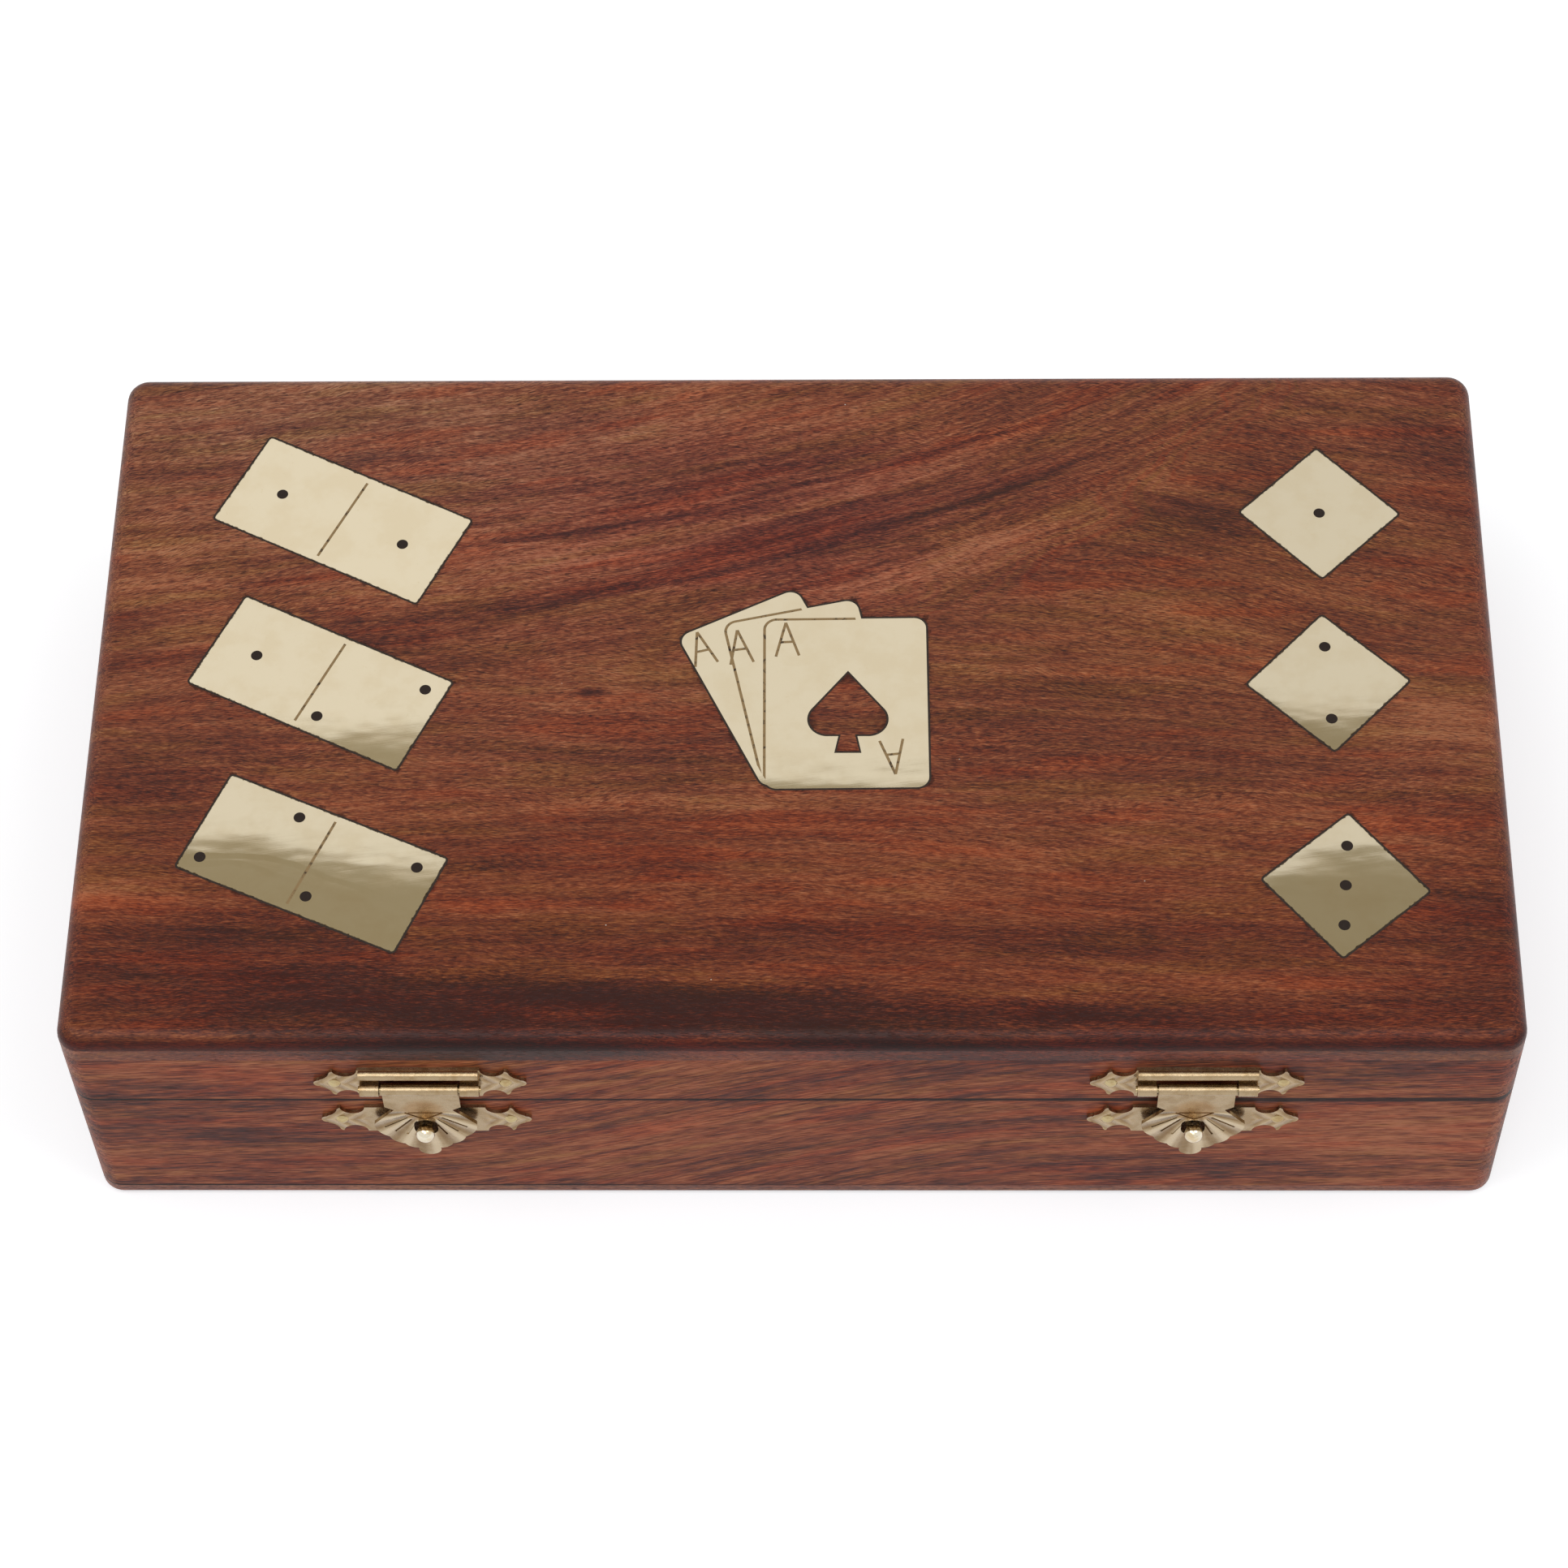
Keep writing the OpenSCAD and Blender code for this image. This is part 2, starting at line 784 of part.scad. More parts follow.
// Two nails with low domed heads, one at each end of a plate
module plate_nails(z) {
    dome_r = (nail_head_r * nail_head_r + nail_head_h * nail_head_h) / (2 * nail_head_h);
    at_both_ends() outward(plate_front, z) {
        translate([0, 0, -nail_length]) cylinder(r = nail_shank_r, h = nail_length);
        intersection() {
            translate([0, 0, nail_head_h - dome_r]) sphere(dome_r);
            cylinder(r = 2 * nail_head_r, h = nail_head_h);
        }
    }
}

module at_clasps() {
    for (x = [left_clasp_x, right_clasp_x]) translate([x, 0, 0]) children();
}

module clasp_lid_nails() {
    color(polished_brass) at_clasps() plate_nails(pivot_z);
}

module clasp_base_nails() {
    color(polished_brass) at_clasps() plate_nails(lower_plate_z);
}

module clasp_lid_holes() {
    at_clasps() nail_holes(pivot_z);
}

module clasp_base_holes() {
    at_clasps() {
        nail_holes(lower_plate_z);
        knob_hole();
    }
}

// ---- hinges ---------------------------------------------------------------

module at_hinges() {
    for (x = [-hinge_x, hinge_x]) translate([x, 0, 0]) children();
}

// Slab on one side of the parting plane: side 1 is the lid's, -1 the base's
module leaf_slab(from_x, to_x, from_y, to_y, thickness, side) {
    translate([from_x, from_y, hinge_z - (side < 0 ? thickness : 0)])
        cube([to_x - from_x, to_y - from_y, thickness]);
}

module leaf_screws(side) {
    for (x = [-screw_x, screw_x]) translate([x, half_w - leaf_depth / 2, hinge_z])
        mirror([0, 0, side > 0 ? 1 : 0]) children();
}

// Countersunk screw that ends just below z = 0
module screw() {
    translate([0, 0, -leaf_t - screw_sink]) cylinder(r1 = screw_shank_r, r2 = screw_head_r, h = leaf_t);
    translate([0, 0, -screw_length]) cylinder(r = screw_shank_r, h = screw_length - leaf_t);
}

module screw_hole() {
    shank = screw_shank_r + screw_gap;
    head = screw_head_r + screw_gap;
    translate([0, 0, -leaf_t]) cylinder(r1 = shank, r2 = head, h = leaf_t);
    cylinder(r = head, h = overlap);
    translate([0, 0, -screw_length - screw_gap]) cylinder(r = shank, h = screw_length);
}

module hinge_cut(side) {
    half = hinge_length / 2 + mortise_gap;
    leaf_slab(-half, half, half_w - leaf_depth - mortise_gap, half_w + overlap, leaf_t, side);
    leaf_screws(side) screw_hole();
}

// Leaf with every second knuckle, beginning with the given one
module hinge_leaf(first, side) {
    half = hinge_length / 2;
    color(polished_brass) difference() {
        union() {
            leaf_slab(-half, half, half_w - leaf_depth, half_w, leaf_t, side);
            for (k = [first : 2 : knuckles - 1]) {
                from_x = -half + k * knuckle_length + knuckle_side_gap;
                length = knuckle_length - 2 * knuckle_side_gap;
                leaf_slab(from_x, from_x + length, half_w - overlap, hinge_y, leaf_t, side);
                translate([from_x, hinge_y, hinge_z]) rotate([0, 90, 0])
                    cylinder(r = knuckle_r, h = length);
            }
        }
        along_x(hinge_length + overlap, hinge_y, hinge_z)
            cylinder(r = hinge_pin_r + run_gap, h = hinge_length + overlap);
        leaf_screws(side) screw_hole();
    }
}

module hinge_pin() {
    color(polished_brass) along_x(hinge_length, hinge_y, hinge_z)
        cylinder(r = hinge_pin_r, h = hinge_length);
}

module hinge_screws(side) {
    color(polished_brass) at_hinges() leaf_screws(side) screw();
}

// ---- assembly -------------------------------------------------------------

base_bottom_panel();
base_front_wall();
base_back_wall();
base_end_wall(-1);  // base_left_wall
base_end_wall(1);  // base_right_wall
divider(left_divider_x);  // divider_left
divider(right_divider_x);  // divider_right
felt_domino_bay();
felt_card_bay();
felt_dice_bay();
lid_top_panel();
lid_front_rail();
lid_back_rail();
lid_end_rail(-1);  // lid_left_rail
lid_end_rail(1);  // lid_right_rail
inlay_domino(0);  // inlay_domino_back
inlay_domino(1);  // inlay_domino_middle
inlay_domino(2);  // inlay_domino_front
inlay_die(0);  // inlay_die_back
inlay_die(1);  // inlay_die_middle
inlay_die(2);  // inlay_die_front
inlay_card_fan();
inlay_filler_outlines();
inlay_filler_marks();
upper_plate(left_clasp_x);  // clasp_left_upper_plate
pivot_wire(left_clasp_x);  // clasp_left_pivot_wire
hasp(left_clasp_x);  // clasp_left_hasp
lower_plate(left_clasp_x);  // clasp_left_lower_plate
knob(left_clasp_x);  // clasp_left_knob
upper_plate(right_clasp_x);  // clasp_right_upper_plate
pivot_wire(right_clasp_x);  // clasp_right_pivot_wire
hasp(right_clasp_x);  // clasp_right_hasp
lower_plate(right_clasp_x);  // clasp_right_lower_plate
knob(right_clasp_x);  // clasp_right_knob
clasp_lid_nails();
clasp_base_nails();
translate([-hinge_x, 0, 0]) hinge_leaf(0, -1);  // hinge_left_base_leaf
translate([-hinge_x, 0, 0]) hinge_leaf(1, 1);  // hinge_left_lid_leaf
translate([-hinge_x, 0, 0]) hinge_pin();  // hinge_left_pin
translate([hinge_x, 0, 0]) hinge_leaf(0, -1);  // hinge_right_base_leaf
translate([hinge_x, 0, 0]) hinge_leaf(1, 1);  // hinge_right_lid_leaf
translate([hinge_x, 0, 0]) hinge_pin();  // hinge_right_pin
hinge_screws(-1);  // hinge_base_screws
hinge_screws(1);  // hinge_lid_screws
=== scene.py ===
import math
import random

import bmesh
import bpy
from mathutils import Matrix, Vector


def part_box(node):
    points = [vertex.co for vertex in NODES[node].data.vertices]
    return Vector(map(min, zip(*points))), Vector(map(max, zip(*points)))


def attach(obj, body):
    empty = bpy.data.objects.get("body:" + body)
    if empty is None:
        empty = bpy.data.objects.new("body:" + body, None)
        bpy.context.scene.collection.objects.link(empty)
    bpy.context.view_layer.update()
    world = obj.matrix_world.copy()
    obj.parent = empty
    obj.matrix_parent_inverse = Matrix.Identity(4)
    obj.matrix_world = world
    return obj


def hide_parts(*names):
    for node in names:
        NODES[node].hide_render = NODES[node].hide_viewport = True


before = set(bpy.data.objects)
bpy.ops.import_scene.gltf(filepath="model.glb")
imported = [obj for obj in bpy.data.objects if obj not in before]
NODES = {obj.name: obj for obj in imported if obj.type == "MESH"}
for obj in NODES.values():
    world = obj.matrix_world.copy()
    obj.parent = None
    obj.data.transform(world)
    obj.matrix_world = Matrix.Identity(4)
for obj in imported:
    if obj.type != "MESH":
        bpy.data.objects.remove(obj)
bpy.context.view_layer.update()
MM = 0.001

# ---- measures of the CAD model, in millimetres ------------------------------

HALF_L = 114.5
HALF_W = 65.0
CORNER_R = 3.75
BASE_TOP = 33.0
TOP_Z = 52.0
FLOOR_PANEL = 3.0

# each inlay's centre, turn and half sizes, and its pips from its own centre
PLATES = {
    "inlay_domino_back": ((-75.6, 34.5), -26.5, (19.45, 9.35)),
    "inlay_domino_middle": ((-77.2, 1.9), -26.0, (19.45, 9.35)),
    "inlay_domino_front": ((-76.3, -32.5), -24.0, (19.45, 9.35)),
    "inlay_die_back": ((87.4, 35.2), 44.0, (9.3, 9.3)),
    "inlay_die_middle": ((87.0, 1.4), 46.4, (9.3, 9.3)),
    "inlay_die_front": ((87.6, -36.9), 40.0, (9.3, 9.3)),
}
CARDS = (((-2.03, 0.67), 26.3, (10.75, 16.4)), ((2.94, -0.37), 12.5, (11.15, 16.4)),
         ((8.68, -2.26), 0.6, (13.25, 16.4)))
PIPS = {
    "inlay_domino_back": ((-11.7, 0), (11.5, 0)),
    "inlay_domino_middle": ((-12, 0), (2.8, -6), (16.2, 6.2)),
    "inlay_domino_front": ((-16.8, -6.3), (-5.7, 6.7), (2.1, -5.9), (15.8, 6)),
    "inlay_die_back": ((0, 0),),
    "inlay_die_middle": ((-4.95, -4.95), (4.95, 4.95)),
    "inlay_die_front": ((-5.16, -5.16), (0, 0), (5.16, 5.16)),
}
SPADE = (9.0, -5.0)

# ---- camera -----------------------------------------------------------------

CAMERA_AZIMUTH = 2.324
CAMERA_ELEVATION = 57.898
CAMERA_ROLL = -2.063
CAMERA_PLACE = (13.743, -386.836, 640.586)
CAMERA_LENS = 99.386


def add_camera():
    azimuth, elevation, roll = map(math.radians, (CAMERA_AZIMUTH, CAMERA_ELEVATION, CAMERA_ROLL))
    back = Vector((math.sin(azimuth) * math.cos(elevation),
                   -math.cos(azimuth) * math.cos(elevation), math.sin(elevation)))
    right = Vector((math.cos(azimuth), math.sin(azimuth), 0))
    up = back.cross(right)
    x_axis = math.cos(roll) * right + math.sin(roll) * up
    y_axis = -math.sin(roll) * right + math.cos(roll) * up
    data = bpy.data.cameras.new("camera")
    data.lens = CAMERA_LENS
    data.sensor_width = 36
    data.clip_start = 0.05
    data.clip_end = 20
    camera = bpy.data.objects.new("camera", data)
    bpy.context.scene.collection.objects.link(camera)
    turn = Matrix((x_axis, y_axis, back)).transposed().to_4x4()
    camera.matrix_world = Matrix.Translation(Vector(CAMERA_PLACE) * MM) @ turn
    bpy.context.scene.camera = camera


# ---- node trees -------------------------------------------------------------

class Tree:
    """A small helper that adds shader nodes and links them by their sockets."""

    def __init__(self, name):
        self.material = bpy.data.materials.new(name)
        self.material.use_nodes = True
        self.tree = self.material.node_tree
        self.tree.nodes.clear()

    def add(self, kind, inputs=None, out=0, **settings):
        node = self.tree.nodes.new("ShaderNode" + kind)
        for key, value in settings.items():
            setattr(node, key, value)
        for key, value in (inputs or {}).items():
            if isinstance(value, bpy.types.NodeSocket):
                self.tree.links.new(value, node.inputs[key])
            else:
                node.inputs[key].default_value = value
        return node.outputs[out] if len(node.outputs) else None

    def math(self, operation, a, b=0.0, c=0.0):
        return self.add("Math", {0: a, 1: b, 2: c}, operation=operation)

    def sum(self, *terms):
        total = terms[0]
        for term in terms[1:]:
            total = self.math("ADD", total, term)
        return total

    def times(self, a, b):
        return self.math("MULTIPLY", a, b)

    def scaled(self, value, factor, offset=0.0):
        return self.math("MULTIPLY_ADD", value, factor, offset)

    def step(self, value, low, high):
        """0 below low, 1 above high, smooth between. low may be the larger one."""
        return self.add("MapRange", {"Value": value, "From Min": low, "From Max": high},
                        interpolation_type="SMOOTHSTEP")

    def position(self):
        """Object coordinates in millimetres, as three sockets."""
        place = self.add("TexCoord", out=3)
        big = self.add("VectorMath", {0: place, 1: (1 / MM,) * 3}, operation="MULTIPLY")
        node = self.tree.nodes.new("ShaderNodeSeparateXYZ")
        self.tree.links.new(big, node.inputs[0])
        return node.outputs[0], node.outputs[1], node.outputs[2]

    def vector(self, x, y, z):
        return self.add("CombineXYZ", {0: x, 1: y, 2: z})

    def noise(self, vector, scales=(1, 1, 1), shift=0.0, detail=2.0, roughness=0.5):
        placed = self.add("VectorMath", {0: vector, 1: scales, 2: (shift, shift * 0.7, shift * 1.3)},
                          operation="MULTIPLY_ADD")
        return self.add("TexNoise", {"Vector": placed, "Scale": 1.0, "Detail": detail,
                                     "Roughness": roughness})

    def ramp(self, value, stops):
        node = self.tree.nodes.new("ShaderNodeValToRGB")
        elements = node.color_ramp.elements
        while len(elements) < len(stops):
            elements.new(0.5)
        for element, (place, color) in zip(elements, stops):
            element.position = place
            element.color = (*color, 1)
        self.tree.links.new(value, node.inputs[0])
        return node.outputs[0]

    def mix(self, factor, a, b, blend="MIX"):
        node = self.tree.nodes.new("ShaderNodeMix")
        node.data_type = "RGBA"
        node.blend_type = blend
        for socket, value in ((node.inputs[0], factor), (node.inputs[6], a), (node.inputs[7], b)):
            if isinstance(value, bpy.types.NodeSocket):
                self.tree.links.new(value, socket)
            else:
                socket.default_value = (*value, 1) if isinstance(value, tuple) else value
        return node.outputs[2]

    def blob(self, x, y, centre, reach):
        """1 at the centre, falling to 0 at an ellipse of the given half lengths."""
        dx = self.scaled(x, 1 / reach[0], -centre[0] / reach[0])
        dy = self.scaled(y, 1 / reach[1], -centre[1] / reach[1])
        d = self.math("SQRT", self.sum(self.times(dx, dx), self.times(dy, dy)))
        return self.step(d, 1.0, 0.0)

    def outside(self, x, y, centre, turn, half):
        """Distance outside a turned rectangle, negative within it."""
        c, s = math.cos(math.radians(turn)), math.sin(math.radians(turn))
        u = self.sum(self.scaled(x, c, -centre[0] * c - centre[1] * s), self.scaled(y, s))
        v = self.sum(self.scaled(y, c, centre[0] * s - centre[1] * c), self.scaled(x, -s))
        return self.math("MAXIMUM", self.math("SUBTRACT", self.math("ABSOLUTE", u), half[0]),
                         self.math("SUBTRACT", self.math("ABSOLUTE", v), half[1]))

    def bump(self, height, distance, strength=1.0, normal=None):
        inputs = {"Height": height, "Distance": distance, "Strength": strength}
        if normal is not None:
            inputs["Normal"] = normal
        return self.add("Bump", inputs)

    def finish(self, **inputs):
        """Ends the tree in a Principled shader with the given inputs."""
        names = {key: key.replace("_", " ") for key in inputs}
        shader = self.add("BsdfPrincipled", {names[k]: v for k, v in inputs.items()})
        self.add("OutputMaterial", {"Surface": shader})
        return self.material


# ---- wood -------------------------------------------------------------------

WOOD_STOPS = (
    (0.10, (0.040, 0.0110, 0.0090)),
    (0.32, (0.108, 0.0250, 0.0145)),
    (0.50, (0.190, 0.0500, 0.0225)),
    (0.68, (0.285, 0.0920, 0.0400)),
    (0.90, (0.400, 0.1600, 0.0780)),
)
SATIN = 0.38


def figure(tree, along, across, depth, shift, stretch=1.0, patch=1.0):
    """Broad and narrow colour streaks of the wood, about 0.5 on average."""
    vector = tree.vector(along, across, depth)
    waver = tree.noise(vector, (0.011, 0.045, 0.045), shift, detail=1)
    bent = tree.sum(across, tree.scaled(waver, 9.0, -4.5))
    vector = tree.vector(along, bent, depth)
    broad = tree.noise(vector, (0.010, 0.11, 0.11), shift + 3, detail=1)
    middle = tree.noise(vector, (0.040 / patch, 0.52, 0.52), shift + 7, detail=3, roughness=0.7)
    narrow = tree.noise(vector, (0.24 / stretch, 2.6, 2.6), shift + 11, detail=2, roughness=0.7)
    return tree.sum(tree.scaled(broad, 0.40), tree.scaled(middle, 0.70), tree.scaled(narrow, 0.60, -0.35))


def redness(tree, along, across, depth, shift):
    """Streaks that turn redder above 0.5 and more olive below."""
    vector = tree.vector(along, across, depth)
    return tree.noise(vector, (0.030, 0.22, 0.22), shift + 41, detail=3, roughness=0.65)


def fibres(tree, along, across, depth, shift, length=1.0):
    """Fine light and dark threads, and short dark pores. Both run along the grain."""
    vector = tree.vector(along, across, depth)
    thread = tree.noise(vector, (0.75 / length, 7.0, 7.0), shift + 17, detail=2, roughness=0.7)
    pores = tree.noise(vector, (0.65 / length, 4.6, 4.6), shift + 23, detail=1, roughness=0.6)
    return thread, tree.step(pores, 0.56, 0.68)


def wood(tree, tone, hue, thread, pores, tints=(), end_grain_and_shade=None, pore_depth=0.6, specular=0.3,
         dust=None):
    """Colour, gloss and relief from the streaks' tone. tints are pairs of a mask and a colour."""
    value = tree.sum(tone, tree.scaled(thread, 1.5, -0.75))
    color = tree.ramp(value, WOOD_STOPS)
    color = tree.mix(tree.step(hue, 0.50, 0.66), color, (1.10, 0.84, 0.74), "MULTIPLY")
    color = tree.mix(tree.step(hue, 0.50, 0.34), color, (0.94, 1.06, 0.86), "MULTIPLY")
    for mask, tint in tints:
        color = tree.mix(mask, color, tint, "MULTIPLY")
    color = tree.mix(tree.times(pores, pore_depth), color, (0.27, 0.25, 0.28), "MULTIPLY")
    # darkens a rounding: darker end grain there, together with painted shade
    if end_grain_and_shade is not None:
        color = tree.mix(end_grain_and_shade, color, (0.36, 0.15, 0.10), "MULTIPLY")
    if dust is not None:
        color = tree.mix(dust, color, (0.60, 0.55, 0.48))
    gloss = tree.sum(tree.scaled(thread, 0.10, SATIN - 0.05), tree.scaled(pores, 0.18))
    relief = tree.sum(tree.scaled(thread, 0.35), tree.scaled(pores, -1.0))
    normal = tree.bump(relief, 0.03 * MM, 0.8)
    return tree.finish(Base_Color=color, Roughness=gloss, Normal=normal,
                       Specular_IOR_Level=specular, IOR=1.5)


# dark lines along the arcs: place across them, half width, strength, and where they start and end in x
DARK_LINES = ((8.5, 1.6, 0.24, -70, 70), (21.5, 1.2, 0.20, -60, 48), (2.0, 2.2, 0.14, -40, 30),
              (31.0, 2.0, 0.12, -90, -10), (14.5, 1.0, 0.12, -30, 60))
# patches of the top that are lighter (+) or darker (-): centre, half lengths, change
TOP_PATCHES = (
    ((-104, 20), (22, 14), 0.14), ((-108, -36), (14, 6), 0.14), ((-106, -20), (18, 10), -0.22),
    ((106, -4), (24, 11), 0.20), ((60, 14), (60, 22), 0.05), ((-85, -50), (56, 11), -0.24),
    ((20, -46), (100, 8), -0.12), ((0, -60), (150, 10), -0.47), ((-70, 9), (40, 9), -0.16),
    ((-10, -8), (40, 7), -0.14), ((40, -32), (70, 8), 0.10), ((-10, 33), (40, 9), -0.16),
    ((20, 56), (70, 10), 0.07), ((78, 40), (24, 20), -0.16), ((110, 46), (16, 26), -0.12),
    ((112, -46), (26, 26), -0.20), ((30, 28), (24, 8), 0.10),
)
KNOT = (-32.6, -0.3)
LINE_FADE = 14.0      # length over which a dark line starts and ends


def top_wood():
    """The lid's panel: arcs that sweep up to the right behind, level grain in front, one knot."""
    tree = Tree("wood_top")
    x, y, z = tree.position()
    past = tree.math("MAXIMUM", tree.scaled(x, 1.0, 60.0), 0.0)
    arc = tree.sum(tree.scaled(x, 0.12, 13.8), tree.scaled(tree.times(past, past), 0.0015))
    swept = tree.math("SUBTRACT", y, arc)
    right = tree.step(x, 30.0, 90.0)
    fall = tree.times(tree.step(y, -25.0, 15.0), right)
    level = tree.sum(y, tree.scaled(tree.math("MAXIMUM", x, 0.0), 0.07),
                     tree.times(fall, tree.scaled(x, 0.16, -4.8)))
    arcs = figure(tree, x, swept, z, 2.0)
    bands = figure(tree, x, level, z, 31.0)
    here = tree.noise(tree.vector(x, y, z), (0.02, 0.09, 0.09), 5.0, detail=2)
    upper = tree.step(tree.sum(swept, tree.scaled(y, 0.35), tree.scaled(here, 26.0, -13.0),
                               tree.scaled(right, -34.0)), -9.0, 7.0)
    tone = tree.sum(tree.times(arcs, upper),
                    tree.times(tree.scaled(bands, 0.8, 0.1), tree.math("SUBTRACT", 1.0, upper)))
    tone = tree.sum(tree.scaled(tone, 1.25, -0.11), tree.times(tree.step(upper, 1.0, 0.0), -0.03))
    hue = redness(tree, x, tree.math("SUBTRACT", y, tree.times(arc, upper)), z, 2.0)

    # dark lines along the arcs, and the knot
    for line, half, strength, x0, x1 in DARK_LINES:
        wobble = tree.scaled(here, 7.0, -3.5 - line)
        off = tree.math("ABSOLUTE", tree.sum(swept, wobble))
        ends = tree.times(tree.step(x, x0 - LINE_FADE, x0 + LINE_FADE),
                          tree.step(x, x1 + LINE_FADE, x1 - LINE_FADE))
        dark = tree.times(tree.step(off, half, 0.0), ends)
        tone = tree.math("SUBTRACT", tone, tree.scaled(dark, strength))
    knot = tree.blob(x, y, KNOT, (5.0, 1.5))
    halo = tree.blob(x, y, KNOT, (15.0, 5.0))
    tone = tree.sum(tone, tree.scaled(knot, -0.55), tree.scaled(halo, 0.06))

    # lac pressed into the pores round the inlays and inside the spade
    plates = list(PLATES.values()) + list(CARDS)
    gap = tree.outside(x, y, *plates[0])
    for plate in plates[1:]:
        gap = tree.math("MINIMUM", gap, tree.outside(x, y, *plate))
    ragged = tree.noise(tree.vector(x, y, 0.0), (0.55, 0.55, 1), 21.0, detail=3, roughness=0.7)
    lac = tree.step(tree.sum(gap, tree.scaled(ragged, -3.5, 1.7)), 0.5, -0.1)
    lac = tree.times(lac, tree.step(gap, -3.0, -2.0))
    spade = tree.blob(x, y, SPADE, (9.2, 10.5))
    inside = tree.times(tree.step(tree.sum(spade, tree.scaled(ragged, 0.4, -0.2)), 0.42, 0.20),
                        tree.step(spade, 0.0, 0.02))
    lac = tree.times(tree.math("MAXIMUM", lac, inside), tree.step(z, TOP_Z - 0.5, TOP_Z - 0.1))

    # broad zones, lighter and darker
    wx = tree.sum(x, tree.scaled(here, 30.0, -15.0))
    wy = tree.sum(y, tree.scaled(here, 22.0, -11.0))
    for centre, reach, lift in TOP_PATCHES:
        tone = tree.sum(tone, tree.scaled(tree.blob(wx, wy, centre, reach), lift))
    red = tree.blob(wx, wy, (-5, 34), (85, 34))
    # pale is a painted sheen: the back left of the top is made paler and bluer, standing in for light
    # reflected off the finish
    pale = tree.blob(wx, wy, (-80, 52), (80, 34))
    brown = tree.blob(wx, wy, (70, 20), (70, 60))
    warm = tree.step(wy, -8.0, -40.0)

    # pores turn from rising on the left to falling on the right
    wander = tree.noise(tree.vector(x, y, z), (0.055, 0.055, 0.055), 15.0, detail=1)
    lean = tree.sum(tree.times(tree.step(y, -20.0, 20.0), tree.scaled(tree.times(x, x), -0.0011)),
                    tree.scaled(here, 3.5), tree.scaled(wander, 4.5))
    thread, pores = fibres(tree, x, tree.math("SUBTRACT", y, lean), z, 9.0)
    depth = tree.step(y, -50.0, 0.0)
    dust = tree.add("TexVoronoi", {"Vector": tree.vector(x, y, 0.0), "Scale": 0.16, "Randomness": 1.0})
    dust = tree.times(tree.step(dust, 0.022, 0.012), tree.step(ragged, 0.50, 0.56))
    dust = tree.times(dust, tree.step(z, TOP_Z - 0.3, TOP_Z - 0.05))
    # the top's rounding is darkened: its end grain, plus painted shade, full on the front and weaker on the
    # other sides
    end_grain_and_shade = tree.times(tree.step(z, TOP_Z - 0.15, TOP_Z - 1.5), tree.step(z, TOP_Z - 3.3, TOP_Z - 2.7))
    end_grain_and_shade = tree.times(end_grain_and_shade, tree.scaled(tree.step(y, -60.0, -62.5), 0.7, 0.3))
    return wood(tree, tone, hue, thread, pores,
                ((red, (1.02, 0.94, 1.15)), (pale, (1.05, 1.30, 1.55)), (brown, (0.96, 0.98, 0.84)),
                 (warm, (0.91, 0.79, 0.69)), (lac, (0.34, 0.28, 0.26))),
                end_grain_and_shade=end_grain_and_shade, pore_depth=tree.scaled(depth, 0.45, 0.35), specular=0.20, dust=dust)


def plain(tree, x, z):
    return 0.0


def front_zones(tree, x, z):
    """The front's orange band, which crosses the parting line, and its darker ends and foot."""
    band = tree.math("ABSOLUTE", tree.sum(z, tree.scaled(x, -0.44), -24.0))
    near = tree.times(tree.step(x, -52.0, -30.0), tree.step(x, 45.0, 10.0))
    lift = tree.scaled(tree.times(tree.step(band, 6.0, 1.0), near), 0.13)
    for centre, reach, change in (((98, 16), (36, 34), 0.19), ((-96, 22), (34, 30), -0.05),
                                  ((-30, 9), (60, 7), -0.05)):
        lift = tree.sum(lift, tree.scaled(tree.blob(x, z, centre, reach), change))
    return lift


def side_wood(name, length_axis, shift, rise, zones=plain):
    """Walls and rails: grain along the given axis, which rises to the right by rise(tree, along)."""
    tree = Tree(name)
    x, y, z = tree.position()
    along, depth = (x, y) if length_axis == 0 else (y, x)
    across = tree.math("SUBTRACT", z, rise(tree, along))
    tone = figure(tree, along, across, depth, shift, 1.4, 0.55)
    tone = tree.sum(tree.scaled(tone, 1.70, -0.325), zones(tree, x, z))
    slant = tree.sum(across, tree.scaled(rise(tree, along), 0.45))
    thread, pores = fibres(tree, along, slant, depth, shift, 2.4)
    cool = tree.step(tone, 0.52, 0.34)
    return wood(tree, tone, redness(tree, along, across, depth, shift), thread, pores,
                ((1.0, (0.97, 0.81, 0.74)), (cool, (0.84, 0.92, 1.20)),
                 (seam(tree, x, y, z), (0.08, 0.035, 0.03))),
                specular=0.10)


def depth_inside(tree, x, y):
    """Distance from the box's outline, seen from above. Negative inside it."""
    qx = tree.scaled(tree.math("ABSOLUTE", x), 1.0, CORNER_R - HALF_L)
    qy = tree.scaled(tree.math("ABSOLUTE", y), 1.0, CORNER_R - HALF_W)
    px, py = tree.math("MAXIMUM", qx, 0.0), tree.math("MAXIMUM", qy, 0.0)
    corner = tree.math("SQRT", tree.sum(tree.times(px, px), tree.times(py, py)))
    flat = tree.math("MINIMUM", tree.math("MAXIMUM", qx, qy), 0.0)
    return tree.sum(corner, flat, -CORNER_R)


